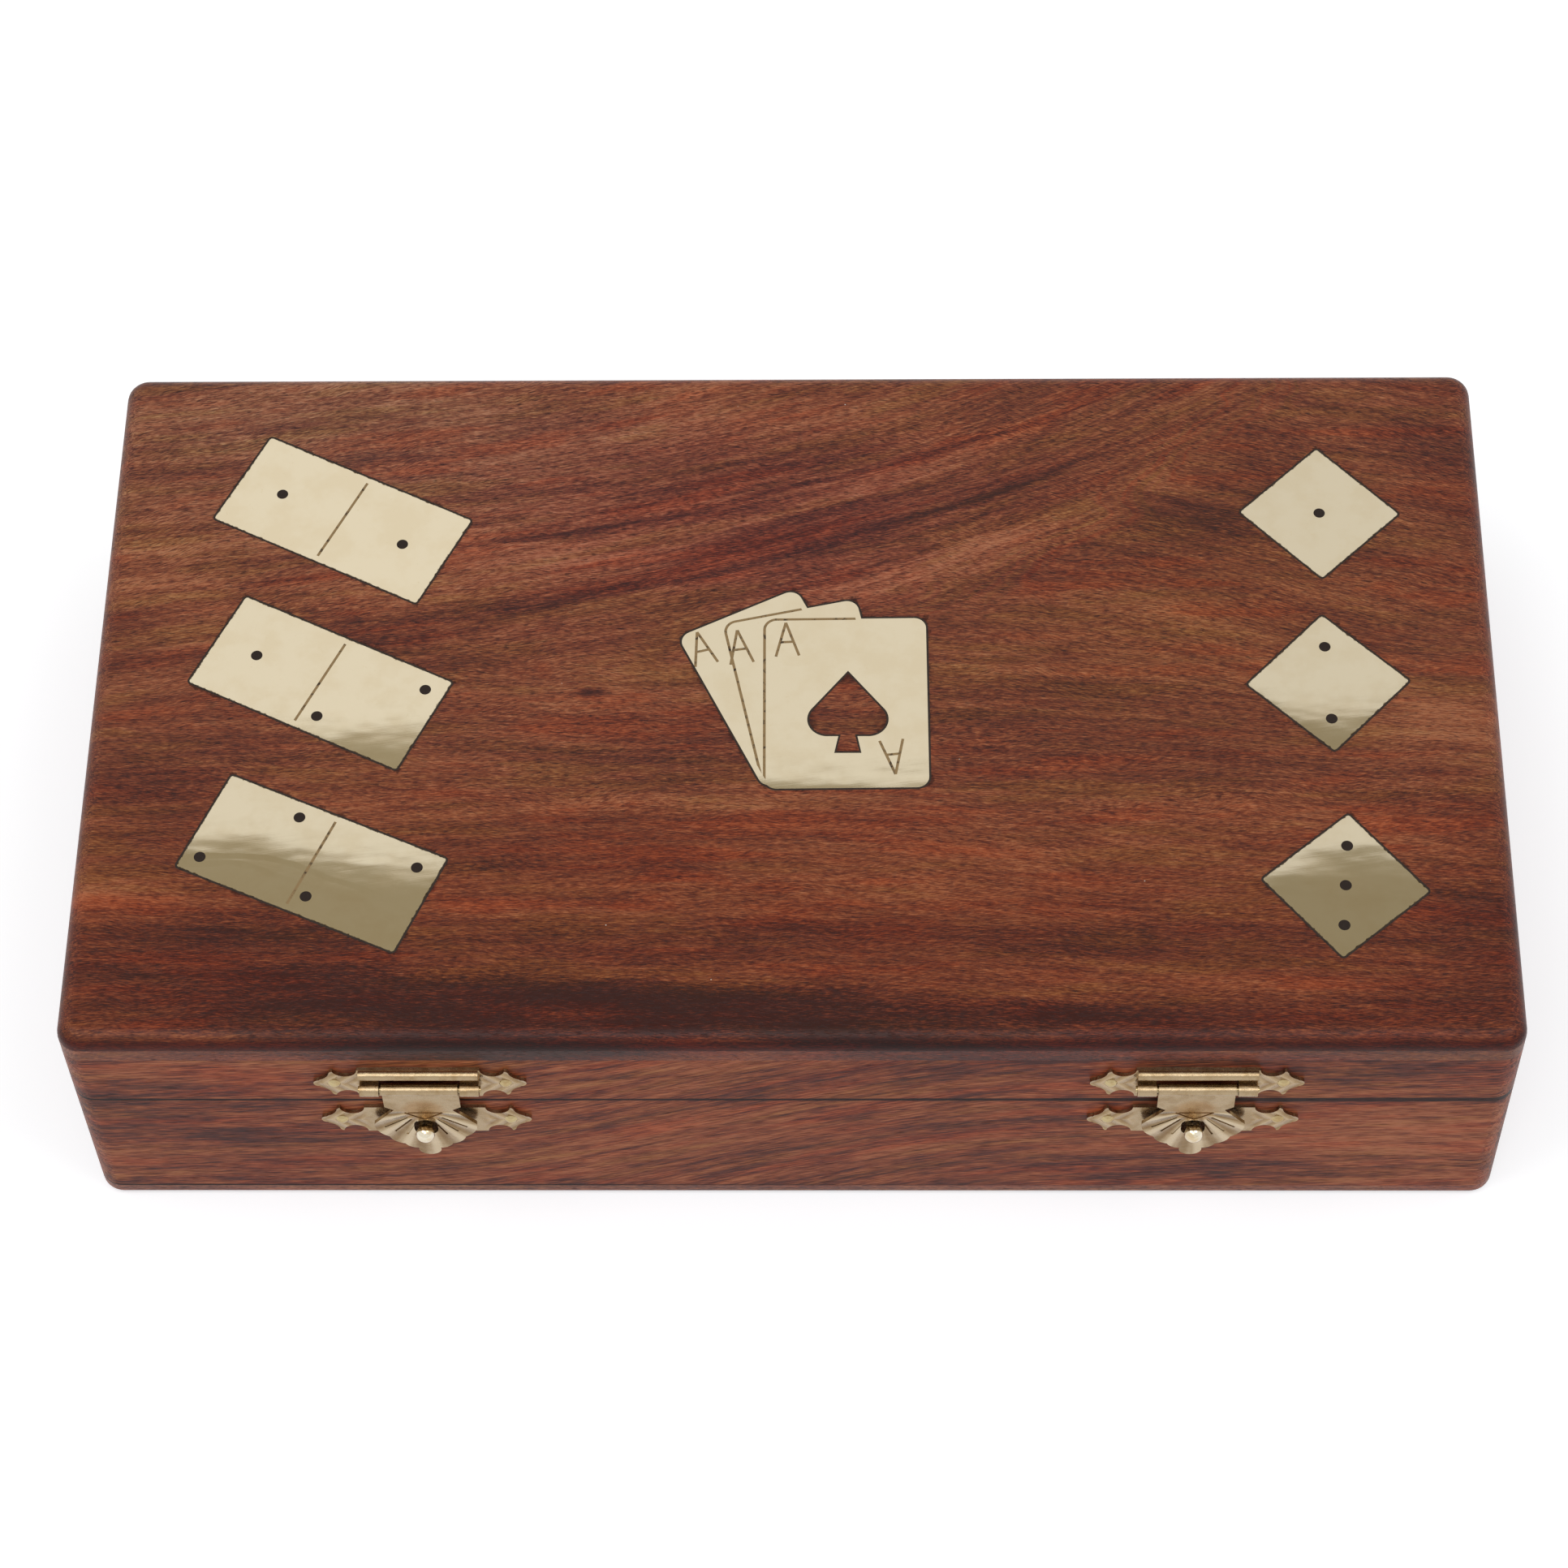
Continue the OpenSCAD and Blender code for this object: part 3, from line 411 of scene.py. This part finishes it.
def seam(tree, x, y, z):
    """The dark joint between lid and base: a hair line on the left, wider on the right."""
    unsteady = tree.noise(tree.vector(x, 0.0, 0.0), (0.12, 1, 1), 3.0, detail=2)
    width = tree.sum(tree.scaled(tree.step(x, -20.0, 110.0), 0.30), tree.scaled(unsteady, 0.36, 0.14))
    off = tree.math("ABSOLUTE", tree.math("SUBTRACT", z, BASE_TOP))
    lid = tree.step(tree.math("DIVIDE", off, width), 1.3, 0.8)
    low = tree.step(tree.math("ABSOLUTE", tree.math("SUBTRACT", z, FLOOR_PANEL)), 0.55, 0.35)
    line = tree.math("MAXIMUM", lid, tree.times(low, tree.step(x, 60.0, -60.0)))
    return tree.times(line, tree.step(depth_inside(tree, x, y), -0.9, -0.4))


def front_rise(tree, along):
    return tree.sum(tree.scaled(tree.step(along, -62.0, 42.0), 26.0), tree.scaled(along, 0.06))


def gentle_rise(tree, along):
    return tree.scaled(along, 0.05)


def panel_wood(name, shift, tints):
    """Flat board with its grain along the box's length."""
    tree = Tree(name)
    x, y, z = tree.position()
    tone = figure(tree, x, y, z, shift)
    thread, pores = fibres(tree, x, y, z, shift)
    return wood(tree, tone, redness(tree, x, y, z, shift), thread, pores, tints)


def divider_wood():
    """Plainer, lighter board whose grain runs from front to back."""
    tree = Tree("wood_dividers")
    x, y, z = tree.position()
    tone = figure(tree, y, z, x, 61.0)
    thread, pores = fibres(tree, y, z, x, 61.0)
    hue = redness(tree, y, z, x, 61.0)
    return wood(tree, tree.scaled(tone, 0.8, 0.14), hue, thread, pores, ((1.0, (1.0, 1.1, 1.1)),))


# ---- metal and filler -------------------------------------------------------

CLASP_X = (-58.3, 63.8)
RAYS_Z = 33.1

CARD_AWAY = 1.9
CARD_FROM = 57.4      # elevation of the grey card's far edge, seen from the box

# inlay: where the grey card's far edge shows in it (x, y), and a factor on its brass colour that paints
# shade, darkening some inlays more than others
INLAYS = {
    "inlay_domino_back": ((-74, -30), 1.00),
    "inlay_domino_middle": ((-66, -8), 0.98),
    "inlay_domino_front": ((-76, -28.0), 0.93),
    "inlay_die_back": ((87, -30), 0.85),
    "inlay_die_middle": ((87, -5.4), 0.85),
    "inlay_die_front": ((88, -31.3), 0.85),
    "inlay_card_fan": ((10, -17), 0.93),
}


# curves that the reflected edge follows: a drop between two places along x, and an arch round one
BENDS = {
    "inlay_domino_front": ((-92, -60, -4.8), (-76, 0.0)),
    "inlay_die_middle": ((80, 95, 0.0), (87.5, 0.022)),
    "inlay_die_front": ((80, 95, 0.0), (88, -0.020)),
}
# bright creases below it: where they lie along y, and their own curve
CREASES = {
    "inlay_domino_front": ((-33.0, (-90, -68, -6.8), (-76, 0.0)), (-31.6, (-84, -72, -1.5), (-90, -0.010))),
    "inlay_die_front": ((-38.2, (77, 88, -1.9), (76, 0.0)),),
}
SLOPE_PER_MM = 0.00074    # moves the reflected edge by 1 mm along y


def curve(tree, x, drop, arch):
    """Distance along y that a drop and an arch add at x."""
    along = tree.scaled(x, 1.0, -arch[0])
    return tree.sum(tree.scaled(tree.step(x, drop[0], drop[1]), drop[2]),
                    tree.scaled(tree.times(along, along), arch[1]))


def mirror_slope(place):
    """Slope along y that makes a mirror at this place of the top show the grey card's far edge."""
    to_x, to_y = place[0] - CAMERA_PLACE[0], place[1] - CAMERA_PLACE[1]
    flat = math.hypot(to_x, to_y)
    seen = math.atan2(CAMERA_PLACE[2] - TOP_Z, flat)
    edge_high = CARD_AWAY * math.tan(math.radians(CARD_FROM)) - TOP_Z * MM
    edge_far = (CARD_AWAY - place[1] * MM) * flat / to_y
    return (math.atan2(edge_high, edge_far) - seen) / 2


def inlay_brass(name, place, painted_shade_factor, shift):
    """Hand-polished sheet: nearly flat, faintly wavy, finely scratched and a little tarnished."""
    tree = Tree("brass_" + name)
    x, y, z = tree.position()
    flat = tree.vector(x, y, 0.0)
    cloud = tree.noise(flat, (0.16, 0.16, 1), shift + 4, detail=3, roughness=0.6)
    fleck = tree.noise(flat, (1.3, 1.3, 1), shift + 9, detail=2, roughness=0.6)
    # painted shade: the brass colour is scaled by the inlay's factor, so some inlays are darker than others
    light = tuple(painted_shade_factor * c for c in (0.752, 0.651, 0.465))
    dull = tuple(painted_shade_factor * c for c in (0.726, 0.616, 0.425))
    color = tree.mix(tree.step(cloud, 0.40, 0.66), light, dull)
    color = tree.mix(tree.scaled(tree.step(fleck, 0.66, 0.80), 0.30), color, (0.62, 0.50, 0.30))
    if name in PLATES:
        rim = tree.sum(tree.outside(x, y, *PLATES[name]), tree.scaled(fleck, 0.7, -0.42))
        color = tree.mix(tree.step(rim, -0.20, 0.0), color, (0.10, 0.065, 0.035))
    wave = tree.noise(flat, (0.050, 0.080, 1), shift + 2, detail=1)
    ripple = tree.noise(flat, (0.13, 0.34, 1), shift + 6, detail=1)
    brushed = tree.vector(tree.sum(x, tree.scaled(y, 0.2)), tree.sum(y, tree.scaled(x, -0.14)), 0.0)
    hair = tree.noise(brushed, (0.10, 7.0, 1), shift + 1, detail=2, roughness=0.7)
    shape = tree.sum(tree.scaled(y, mirror_slope(place)), tree.scaled(wave, 0.016),
                     tree.scaled(ripple, 0.0040))
    if name in BENDS:
        shift_y = curve(tree, x, *BENDS[name])
        shape = tree.sum(shape, tree.scaled(tree.times(y, shift_y), SLOPE_PER_MM))
    for level, drop, arch in CREASES.get(name, ()):
        crease = tree.sum(curve(tree, x, drop, arch), tree.scaled(ripple, 1.2, level))
        off = tree.math("SUBTRACT", y, crease)
        shape = tree.sum(shape, tree.scaled(tree.step(off, -0.7, 0.5), 0.0110))
    normal = tree.bump(shape, 1.0 * MM, 1.0)
    normal = tree.bump(hair, 0.0002 * MM, 1.0, normal)
    gloss = tree.sum(tree.scaled(cloud, 0.03, 0.005), tree.scaled(hair, 0.025))
    return tree.finish(Base_Color=color, Metallic=1.0, Roughness=gloss, Normal=normal)


def worn_brass(name, light, dark, gloss, hollow_shade, relief=None):
    """Stamped or turned brass with painted shade, a dark brown, in its corners and hollows, and a brown
    tint here and there.
    """
    tree = Tree(name)
    x, y, z = tree.position()
    place = tree.vector(x, y, z)
    cloud = tree.noise(place, (0.35, 0.35, 0.35), 3.0, detail=3, roughness=0.6)
    fine = tree.noise(place, (3.0, 3.0, 3.0), 8.0, detail=3, roughness=0.6)
    hollow = tree.add("AmbientOcclusion", {"Distance": 1.0 * MM}, out=1, samples=6)
    color = tree.mix(tree.step(cloud, 0.40, 0.66), light, dark)
    color = tree.mix(tree.scaled(tree.step(fine, 0.55, 0.72), 0.30), color, dark)
    height = tree.sum(tree.scaled(cloud, 0.9), tree.scaled(fine, 0.05))
    if relief is not None:
        raised, stain = relief(tree, x, z)
        height = tree.sum(height, raised)
        color = tree.mix(tree.step(raised, 0.0, -0.8), color, (0.66, 0.58, 0.46), "MULTIPLY")
        color = tree.mix(tree.scaled(tree.step(raised, 0.1, 0.8), 0.6), color, (0.66, 0.55, 0.38))
        color = tree.mix(stain, color, (0.86, 0.66, 0.42), "MULTIPLY")
    # painted shade: dark brown where the occlusion mask finds hollows and corners
    color = tree.mix(tree.scaled(tree.step(hollow, 0.80, 0.25), hollow_shade), color, (0.10, 0.055, 0.025))
    rough = tree.sum(tree.scaled(fine, 0.14, gloss - 0.07), tree.scaled(tree.step(hollow, 0.8, 0.2), 0.15))
    normal = tree.bump(height, 0.15 * MM, 0.9)
    return tree.finish(Base_Color=color, Metallic=1.0, Roughness=rough, Normal=normal)


def from_clasp(tree, x):
    """Distance to the middle of whichever clasp is nearer, with its sign."""
    side = tree.step(x, 2.0, 3.0)
    return tree.math("SUBTRACT", x, tree.scaled(side, CLASP_X[1] - CLASP_X[0], CLASP_X[0]))


def fan_relief(tree, x, z):
    """Stamped rays that spread from the hasp's triangle over its fan."""
    across, down = from_clasp(tree, x), tree.scaled(z, -1.0, RAYS_Z)
    angle = tree.math("ARCTAN2", across, down)
    reach = tree.math("SQRT", tree.sum(tree.times(across, across), tree.times(down, down)))
    ray = tree.math("SINE", tree.scaled(angle, 15.0))
    where = tree.times(tree.step(reach, 2.2, 4.0), tree.step(z, RAYS_Z + 0.3, RAYS_Z - 1.2))
    stain = tree.scaled(tree.step(reach, 4.2, 2.2), 0.7)
    return tree.times(tree.times(ray, where), 0.8), stain


def plate_relief(tree, x, z):
    """Wavy leaf pattern stamped into the ends of the plates, and a line along their middle."""
    across = tree.math("ABSOLUTE", from_clasp(tree, x))
    from_middle = tree.math("ABSOLUTE", tree.math("SUBTRACT", tree.math("ABSOLUTE",
                            tree.scaled(z, 1.0, -33.55)), 6.05))
    bend = tree.sum(tree.scaled(from_middle, 0.9), tree.scaled(across, 1.0))
    leaf = tree.math("SINE", tree.scaled(bend, 2.6))
    ends = tree.step(across, 8.6, 10.4)
    return tree.times(tree.times(leaf, ends), 0.45), tree.scaled(ends, 0.2)


def pip_places():
    for name, pips in PIPS.items():
        centre, turn, _ = PLATES[name]
        c, s = math.cos(math.radians(turn)), math.sin(math.radians(turn))
        for u, v in pips:
            yield centre[0] + c * u - s * v, centre[1] + s * u + c * v


def dark_filler(name, pale, dark_pips=False):
    """Lac filler: nearly black where it is thick, browner and paler where it is worn."""
    tree = Tree(name)
    x, y, z = tree.position()
    flat = tree.vector(x, y, 0.0)
    cloud = tree.noise(flat, (0.9, 0.9, 1), 3.0, detail=3, roughness=0.65)
    grit = tree.noise(flat, (6.0, 6.0, 1), 5.0, detail=2, roughness=0.6)
    worn = tree.step(cloud, 0.30, 0.50)
    if dark_pips:
        pip = 0.0
        for place in pip_places():
            pip = tree.math("MAXIMUM", pip, tree.blob(x, y, place, (1.6, 1.6)))
        worn = tree.times(worn, tree.step(pip, 0.10, 0.0))
    color = tree.mix(worn, (0.022, 0.014, 0.011), pale)
    color = tree.mix(tree.scaled(tree.step(grit, 0.60, 0.75), 0.3), color, (0.12, 0.085, 0.055))
    normal = tree.bump(grit, 0.05 * MM, 0.7)
    return tree.finish(Base_Color=color, Roughness=tree.scaled(grit, 0.3, 0.45), Normal=normal,
                       Specular_IOR_Level=0.15)


def felt_cloth():
    tree = Tree("felt")
    x, y, z = tree.position()
    place = tree.vector(x, y, z)
    cloud = tree.noise(place, (0.10, 0.10, 0.10), 3.0, detail=3, roughness=0.6)
    fluff = tree.noise(place, (3.2, 3.2, 3.2), 6.0, detail=4, roughness=0.75)
    tangled = tree.vector(tree.sum(x, tree.scaled(fluff, 2.0)), y, z)
    hairs = tree.noise(tangled, (0.9, 7.0, 3.0), 2.0, detail=2)
    color = tree.mix(tree.step(cloud, 0.35, 0.68), (0.120, 0.008, 0.012), (0.170, 0.014, 0.018))
    color = tree.mix(tree.scaled(tree.step(fluff, 0.45, 0.70), 0.55), color, (0.230, 0.032, 0.036))
    normal = tree.bump(tree.sum(fluff, tree.scaled(hairs, 0.6)), 0.5 * MM, 0.9)
    return tree.finish(Base_Color=color, Roughness=0.95, Normal=normal, Sheen_Weight=0.12,
                       Sheen_Roughness=0.5, Specular_IOR_Level=0.2)


# ---- pieces -----------------------------------------------------------------

def dress(material, *names):
    for name in names:
        slots = NODES[name].data.materials
        slots.clear()
        slots.append(material)


def names_with(*parts):
    return [name for name in NODES if any(part in name for part in parts)]


def soften(name, width, chosen):
    """Rounds the edges between the chosen vertices of a CAD node. Its mesh isn't touched."""
    node = NODES[name]
    group = node.vertex_groups.new(name="soft_edge")
    picked = [v.index for v in node.data.vertices if chosen(v.co / MM)]
    group.add(picked, 1.0, "REPLACE")
    weld = node.modifiers.new("weld", "WELD")
    weld.merge_threshold = 0.001 * MM
    bevel = node.modifiers.new("bevel", "BEVEL")
    bevel.limit_method = "VGROUP"
    bevel.vertex_group = group.name
    bevel.width = width * MM
    bevel.segments = 3
    bevel.use_clamp_overlap = True
    split = node.modifiers.new("split", "EDGE_SPLIT")
    split.split_angle = math.radians(40)
    flatten = node.modifiers.new("flatten", "WEIGHTED_NORMAL")
    flatten.weight = 100


def at_height(z):
    return lambda co: abs(co.z - z) < 0.01


def dress_wood():
    dress(top_wood(), "lid_top_panel")
    long_grain = side_wood("wood_front", 0, 40.0, front_rise, front_zones)
    dress(long_grain, "base_front_wall", "lid_front_rail")
    dress(side_wood("wood_back", 0, 47.0, gentle_rise), "base_back_wall", "lid_back_rail")
    dress(side_wood("wood_left", 1, 53.0, gentle_rise), "base_left_wall", "lid_left_rail")
    dress(side_wood("wood_right", 1, 58.0, gentle_rise), "base_right_wall", "lid_right_rail")
    dress(panel_wood("wood_bottom", 71.0, ()), "base_bottom_panel")
    dress(divider_wood(), "divider_left", "divider_right")
    for side in ("front", "back", "left", "right"):
        soften(f"lid_{side}_rail", 0.22, at_height(BASE_TOP))
        soften(f"base_{side}_wall", 0.22, at_height(BASE_TOP))
    soften("base_bottom_panel", 0.25, at_height(FLOOR_PANEL))


def dress_metal():
    for shift, (name, (place, painted_shade_factor)) in enumerate(INLAYS.items()):
        dress(inlay_brass(name, place, painted_shade_factor, 13.0 * shift), name)
    dress(dark_filler("filler_rim", (0.035, 0.024, 0.018)), "inlay_filler_outlines")
    dress(dark_filler("filler_marks", (0.27, 0.18, 0.085), True), "inlay_filler_marks")
    gold, bronze = (0.396, 0.297, 0.180), (0.317, 0.220, 0.116)
    dress(worn_brass("brass_plates", gold, bronze, 0.27, 0.15, plate_relief),
          *names_with("_upper_plate", "_lower_plate"))
    dress(worn_brass("brass_hasps", gold, bronze, 0.27, 0.12, fan_relief), *names_with("_hasp"))
    polished = worn_brass("brass_polished", (0.49, 0.39, 0.21), (0.39, 0.27, 0.125), 0.14, 0.6)
    dress(polished, *names_with("_nails", "_wire", "hinge_"))
    knobs = worn_brass("brass_knobs", (0.74, 0.67, 0.53), (0.63, 0.49, 0.30), 0.17, 0.2)
    dress(knobs, *names_with("_knob"))


def felt_piece(name, node):
    """A sheet of felt that lies on the bottom panel, with a slightly uneven surface and edge."""
    low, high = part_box(node)
    rng = random.Random(name)
    columns, rows = 48, 72
    mesh = bmesh.new()
    phase = [rng.uniform(0, math.tau) for _ in range(6)]

    def edge_wave(t, k):
        return 0.12 * MM * (math.sin(t * 23 + phase[k]) + 0.6 * math.sin(t * 61 + phase[k + 1]))

    def top(u, v):
        lift = math.sin(u * 9 + phase[0]) * math.sin(v * 13 + phase[1]) * 0.5
        lift += math.sin(u * 31 + phase[2]) * math.sin(v * 37 + phase[3]) * 0.3
        rim = min(u, 1 - u, v, 1 - v) * 60
        return high.z - 0.12 * MM + 0.10 * MM * lift - 0.35 * MM * max(0, 1 - rim) ** 2

    grid = {}
    for level in (0, 1):
        for i in range(columns + 1):
            for j in range(rows + 1):
                u, v = i / columns, j / rows
                pinch_x, pinch_y = edge_wave(v, 0), edge_wave(u, 2)
                x = low.x + 0.2 * MM + (high.x - low.x - 0.4 * MM) * u + pinch_x * (2 * u - 1)
                y = low.y + 0.2 * MM + (high.y - low.y - 0.4 * MM) * v + pinch_y * (2 * v - 1)
                z = top(u, v) if level else low.z
                grid[level, i, j] = mesh.verts.new((x, y, z))
    for i in range(columns):
        for j in range(rows):
            for level in (0, 1):
                corners = ((i, j), (i + 1, j), (i + 1, j + 1), (i, j + 1))
                ring = [grid[level, column, row] for column, row in corners]
                mesh.faces.new(ring if level else ring[::-1])
    border = ([(i, 0) for i in range(columns)] + [(columns, j) for j in range(rows)]
              + [(i, rows) for i in range(columns, 0, -1)] + [(0, j) for j in range(rows, 0, -1)])
    for a, b in zip(border, border[1:] + border[:1]):
        mesh.faces.new([grid[0, a[0], a[1]], grid[0, b[0], b[1]], grid[1, b[0], b[1]], grid[1, a[0], a[1]]])
    data = bpy.data.meshes.new(name)
    mesh.to_mesh(data)
    mesh.free()
    for face in data.polygons:
        face.use_smooth = True
    piece = bpy.data.objects.new(name, data)
    bpy.context.scene.collection.objects.link(piece)
    return piece, (high.x - low.x - 0.4 * MM, high.y - low.y - 0.4 * MM)


def add_felt():
    cloth = felt_cloth()
    for bay in ("domino", "card", "dice"):
        node = f"felt_{bay}_bay"
        piece, flat = felt_piece(f"felt_{bay}", node)
        piece.data.materials.append(cloth)
        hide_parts(node)
        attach(piece, "base")


# ---- stage ------------------------------------------------------------------

FLOOR_HALF = 3.0
FLOOR_COLOR = (0.74, 0.74, 0.74)
FLOOR_GLOW = 0.46
FLOOR_TINT = (0.97, 1.00, 1.04)


def add_sheet(name, material, half, reach, height):
    """A level stage sheet: half its width along x, its reach along y, and its height, in metres."""
    near, far = reach
    data = bpy.data.meshes.new(name)
    corners = ((-half, near), (half, near), (half, far), (-half, far))
    data.from_pydata([(x, y, height) for x, y in corners], [], [(0, 1, 2, 3)])
    data.materials.append(material)
    sheet = bpy.data.objects.new(name, data)
    bpy.context.scene.collection.objects.link(sheet)


def add_floor():
    tree = Tree("floor")
    rays = tree.tree.nodes.new("ShaderNodeLightPath").outputs
    seen = tree.math("MAXIMUM", rays["Is Camera Ray"],
                     tree.math("MAXIMUM", rays["Is Glossy Ray"], rays["Is Transmission Ray"]))
    diffuse = tree.add("BsdfDiffuse", {"Color": (*FLOOR_COLOR, 1)})
    glow = tree.add("Emission", {"Color": (*FLOOR_TINT, 1), "Strength": tree.scaled(seen, FLOOR_GLOW)})
    tree.add("OutputMaterial", {"Surface": tree.add("AddShader", {0: diffuse, 1: glow})})
    add_sheet("floor", tree.material, FLOOR_HALF, (-FLOOR_HALF, FLOOR_HALF), 0)


def add_lamp(name, centre, radiance):
    """A soft square light of the given radiance, turned to face the box."""
    data = bpy.data.lights.new(name, "AREA")
    data.shape = "SQUARE"
    data.size = LAMP_SIZE
    data.energy = radiance * math.pi * LAMP_SIZE ** 2
    lamp = bpy.data.objects.new(name, data)
    bpy.context.scene.collection.objects.link(lamp)
    lamp.location = centre
    lamp.rotation_euler = (-Vector(centre)).to_track_quat("-Z", "Y").to_euler()


CARD_GREY = (0.42, 0.38, 0.29)
CARD_NEAR = 0.2
CARD_HALF = 1.6
ROOM_LIGHT = 0.62


def add_grey_card():
    """A card hung level behind and above the box: the darker place that the inlays show."""
    tree = Tree("grey_card")
    glow = tree.add("Emission", {"Color": (*CARD_GREY, 1), "Strength": 1.0})
    tree.add("OutputMaterial", {"Surface": glow})
    high = CARD_AWAY * math.tan(math.radians(CARD_FROM))
    add_sheet("grey_card", tree.material, CARD_HALF, (CARD_NEAR, CARD_AWAY), high)


def add_world():
    """White for the camera and in metal; a plain even light on everything else."""
    world = bpy.data.worlds.new("world")
    bpy.context.scene.world = world
    world.use_nodes = True
    nodes, links = world.node_tree.nodes, world.node_tree.links
    nodes.clear()
    room, white = nodes.new("ShaderNodeBackground"), nodes.new("ShaderNodeBackground")
    choose = nodes.new("ShaderNodeMixShader")
    room.inputs["Color"].default_value = (ROOM_LIGHT, ROOM_LIGHT, ROOM_LIGHT, 1)
    white.inputs["Color"].default_value = (1, 1, 1, 1)
    rays, out = nodes.new("ShaderNodeLightPath"), nodes.new("ShaderNodeOutputWorld")
    seen = rays.outputs["Is Camera Ray"]
    for kind in ("Is Glossy Ray", "Is Transmission Ray"):
        either = nodes.new("ShaderNodeMath")
        either.operation = "MAXIMUM"
        links.new(seen, either.inputs[0])
        links.new(rays.outputs[kind], either.inputs[1])
        seen = either.outputs[0]
    links.new(seen, choose.inputs[0])
    links.new(room.outputs[0], choose.inputs[1])
    links.new(white.outputs[0], choose.inputs[2])
    links.new(choose.outputs[0], out.inputs[0])


# each lamp's place and radiance
LAMPS = {
    "lamp_left": ((-0.95, -0.35, 1.9), 2.6),
    "lamp_right": ((0.95, -0.35, 1.9), 2.2),
    "lamp_front": ((-0.1, -1.1, 1.8), 2.6),
}
LAMP_SIZE = 0.9


def add_lights():
    add_world()
    add_grey_card()
    for name, (place, radiance) in LAMPS.items():
        add_lamp(name, place, radiance)


add_camera()
dress_wood()
dress_metal()
add_felt()
add_floor()
add_lights()
bpy.context.scene.view_settings.view_transform = "Standard"
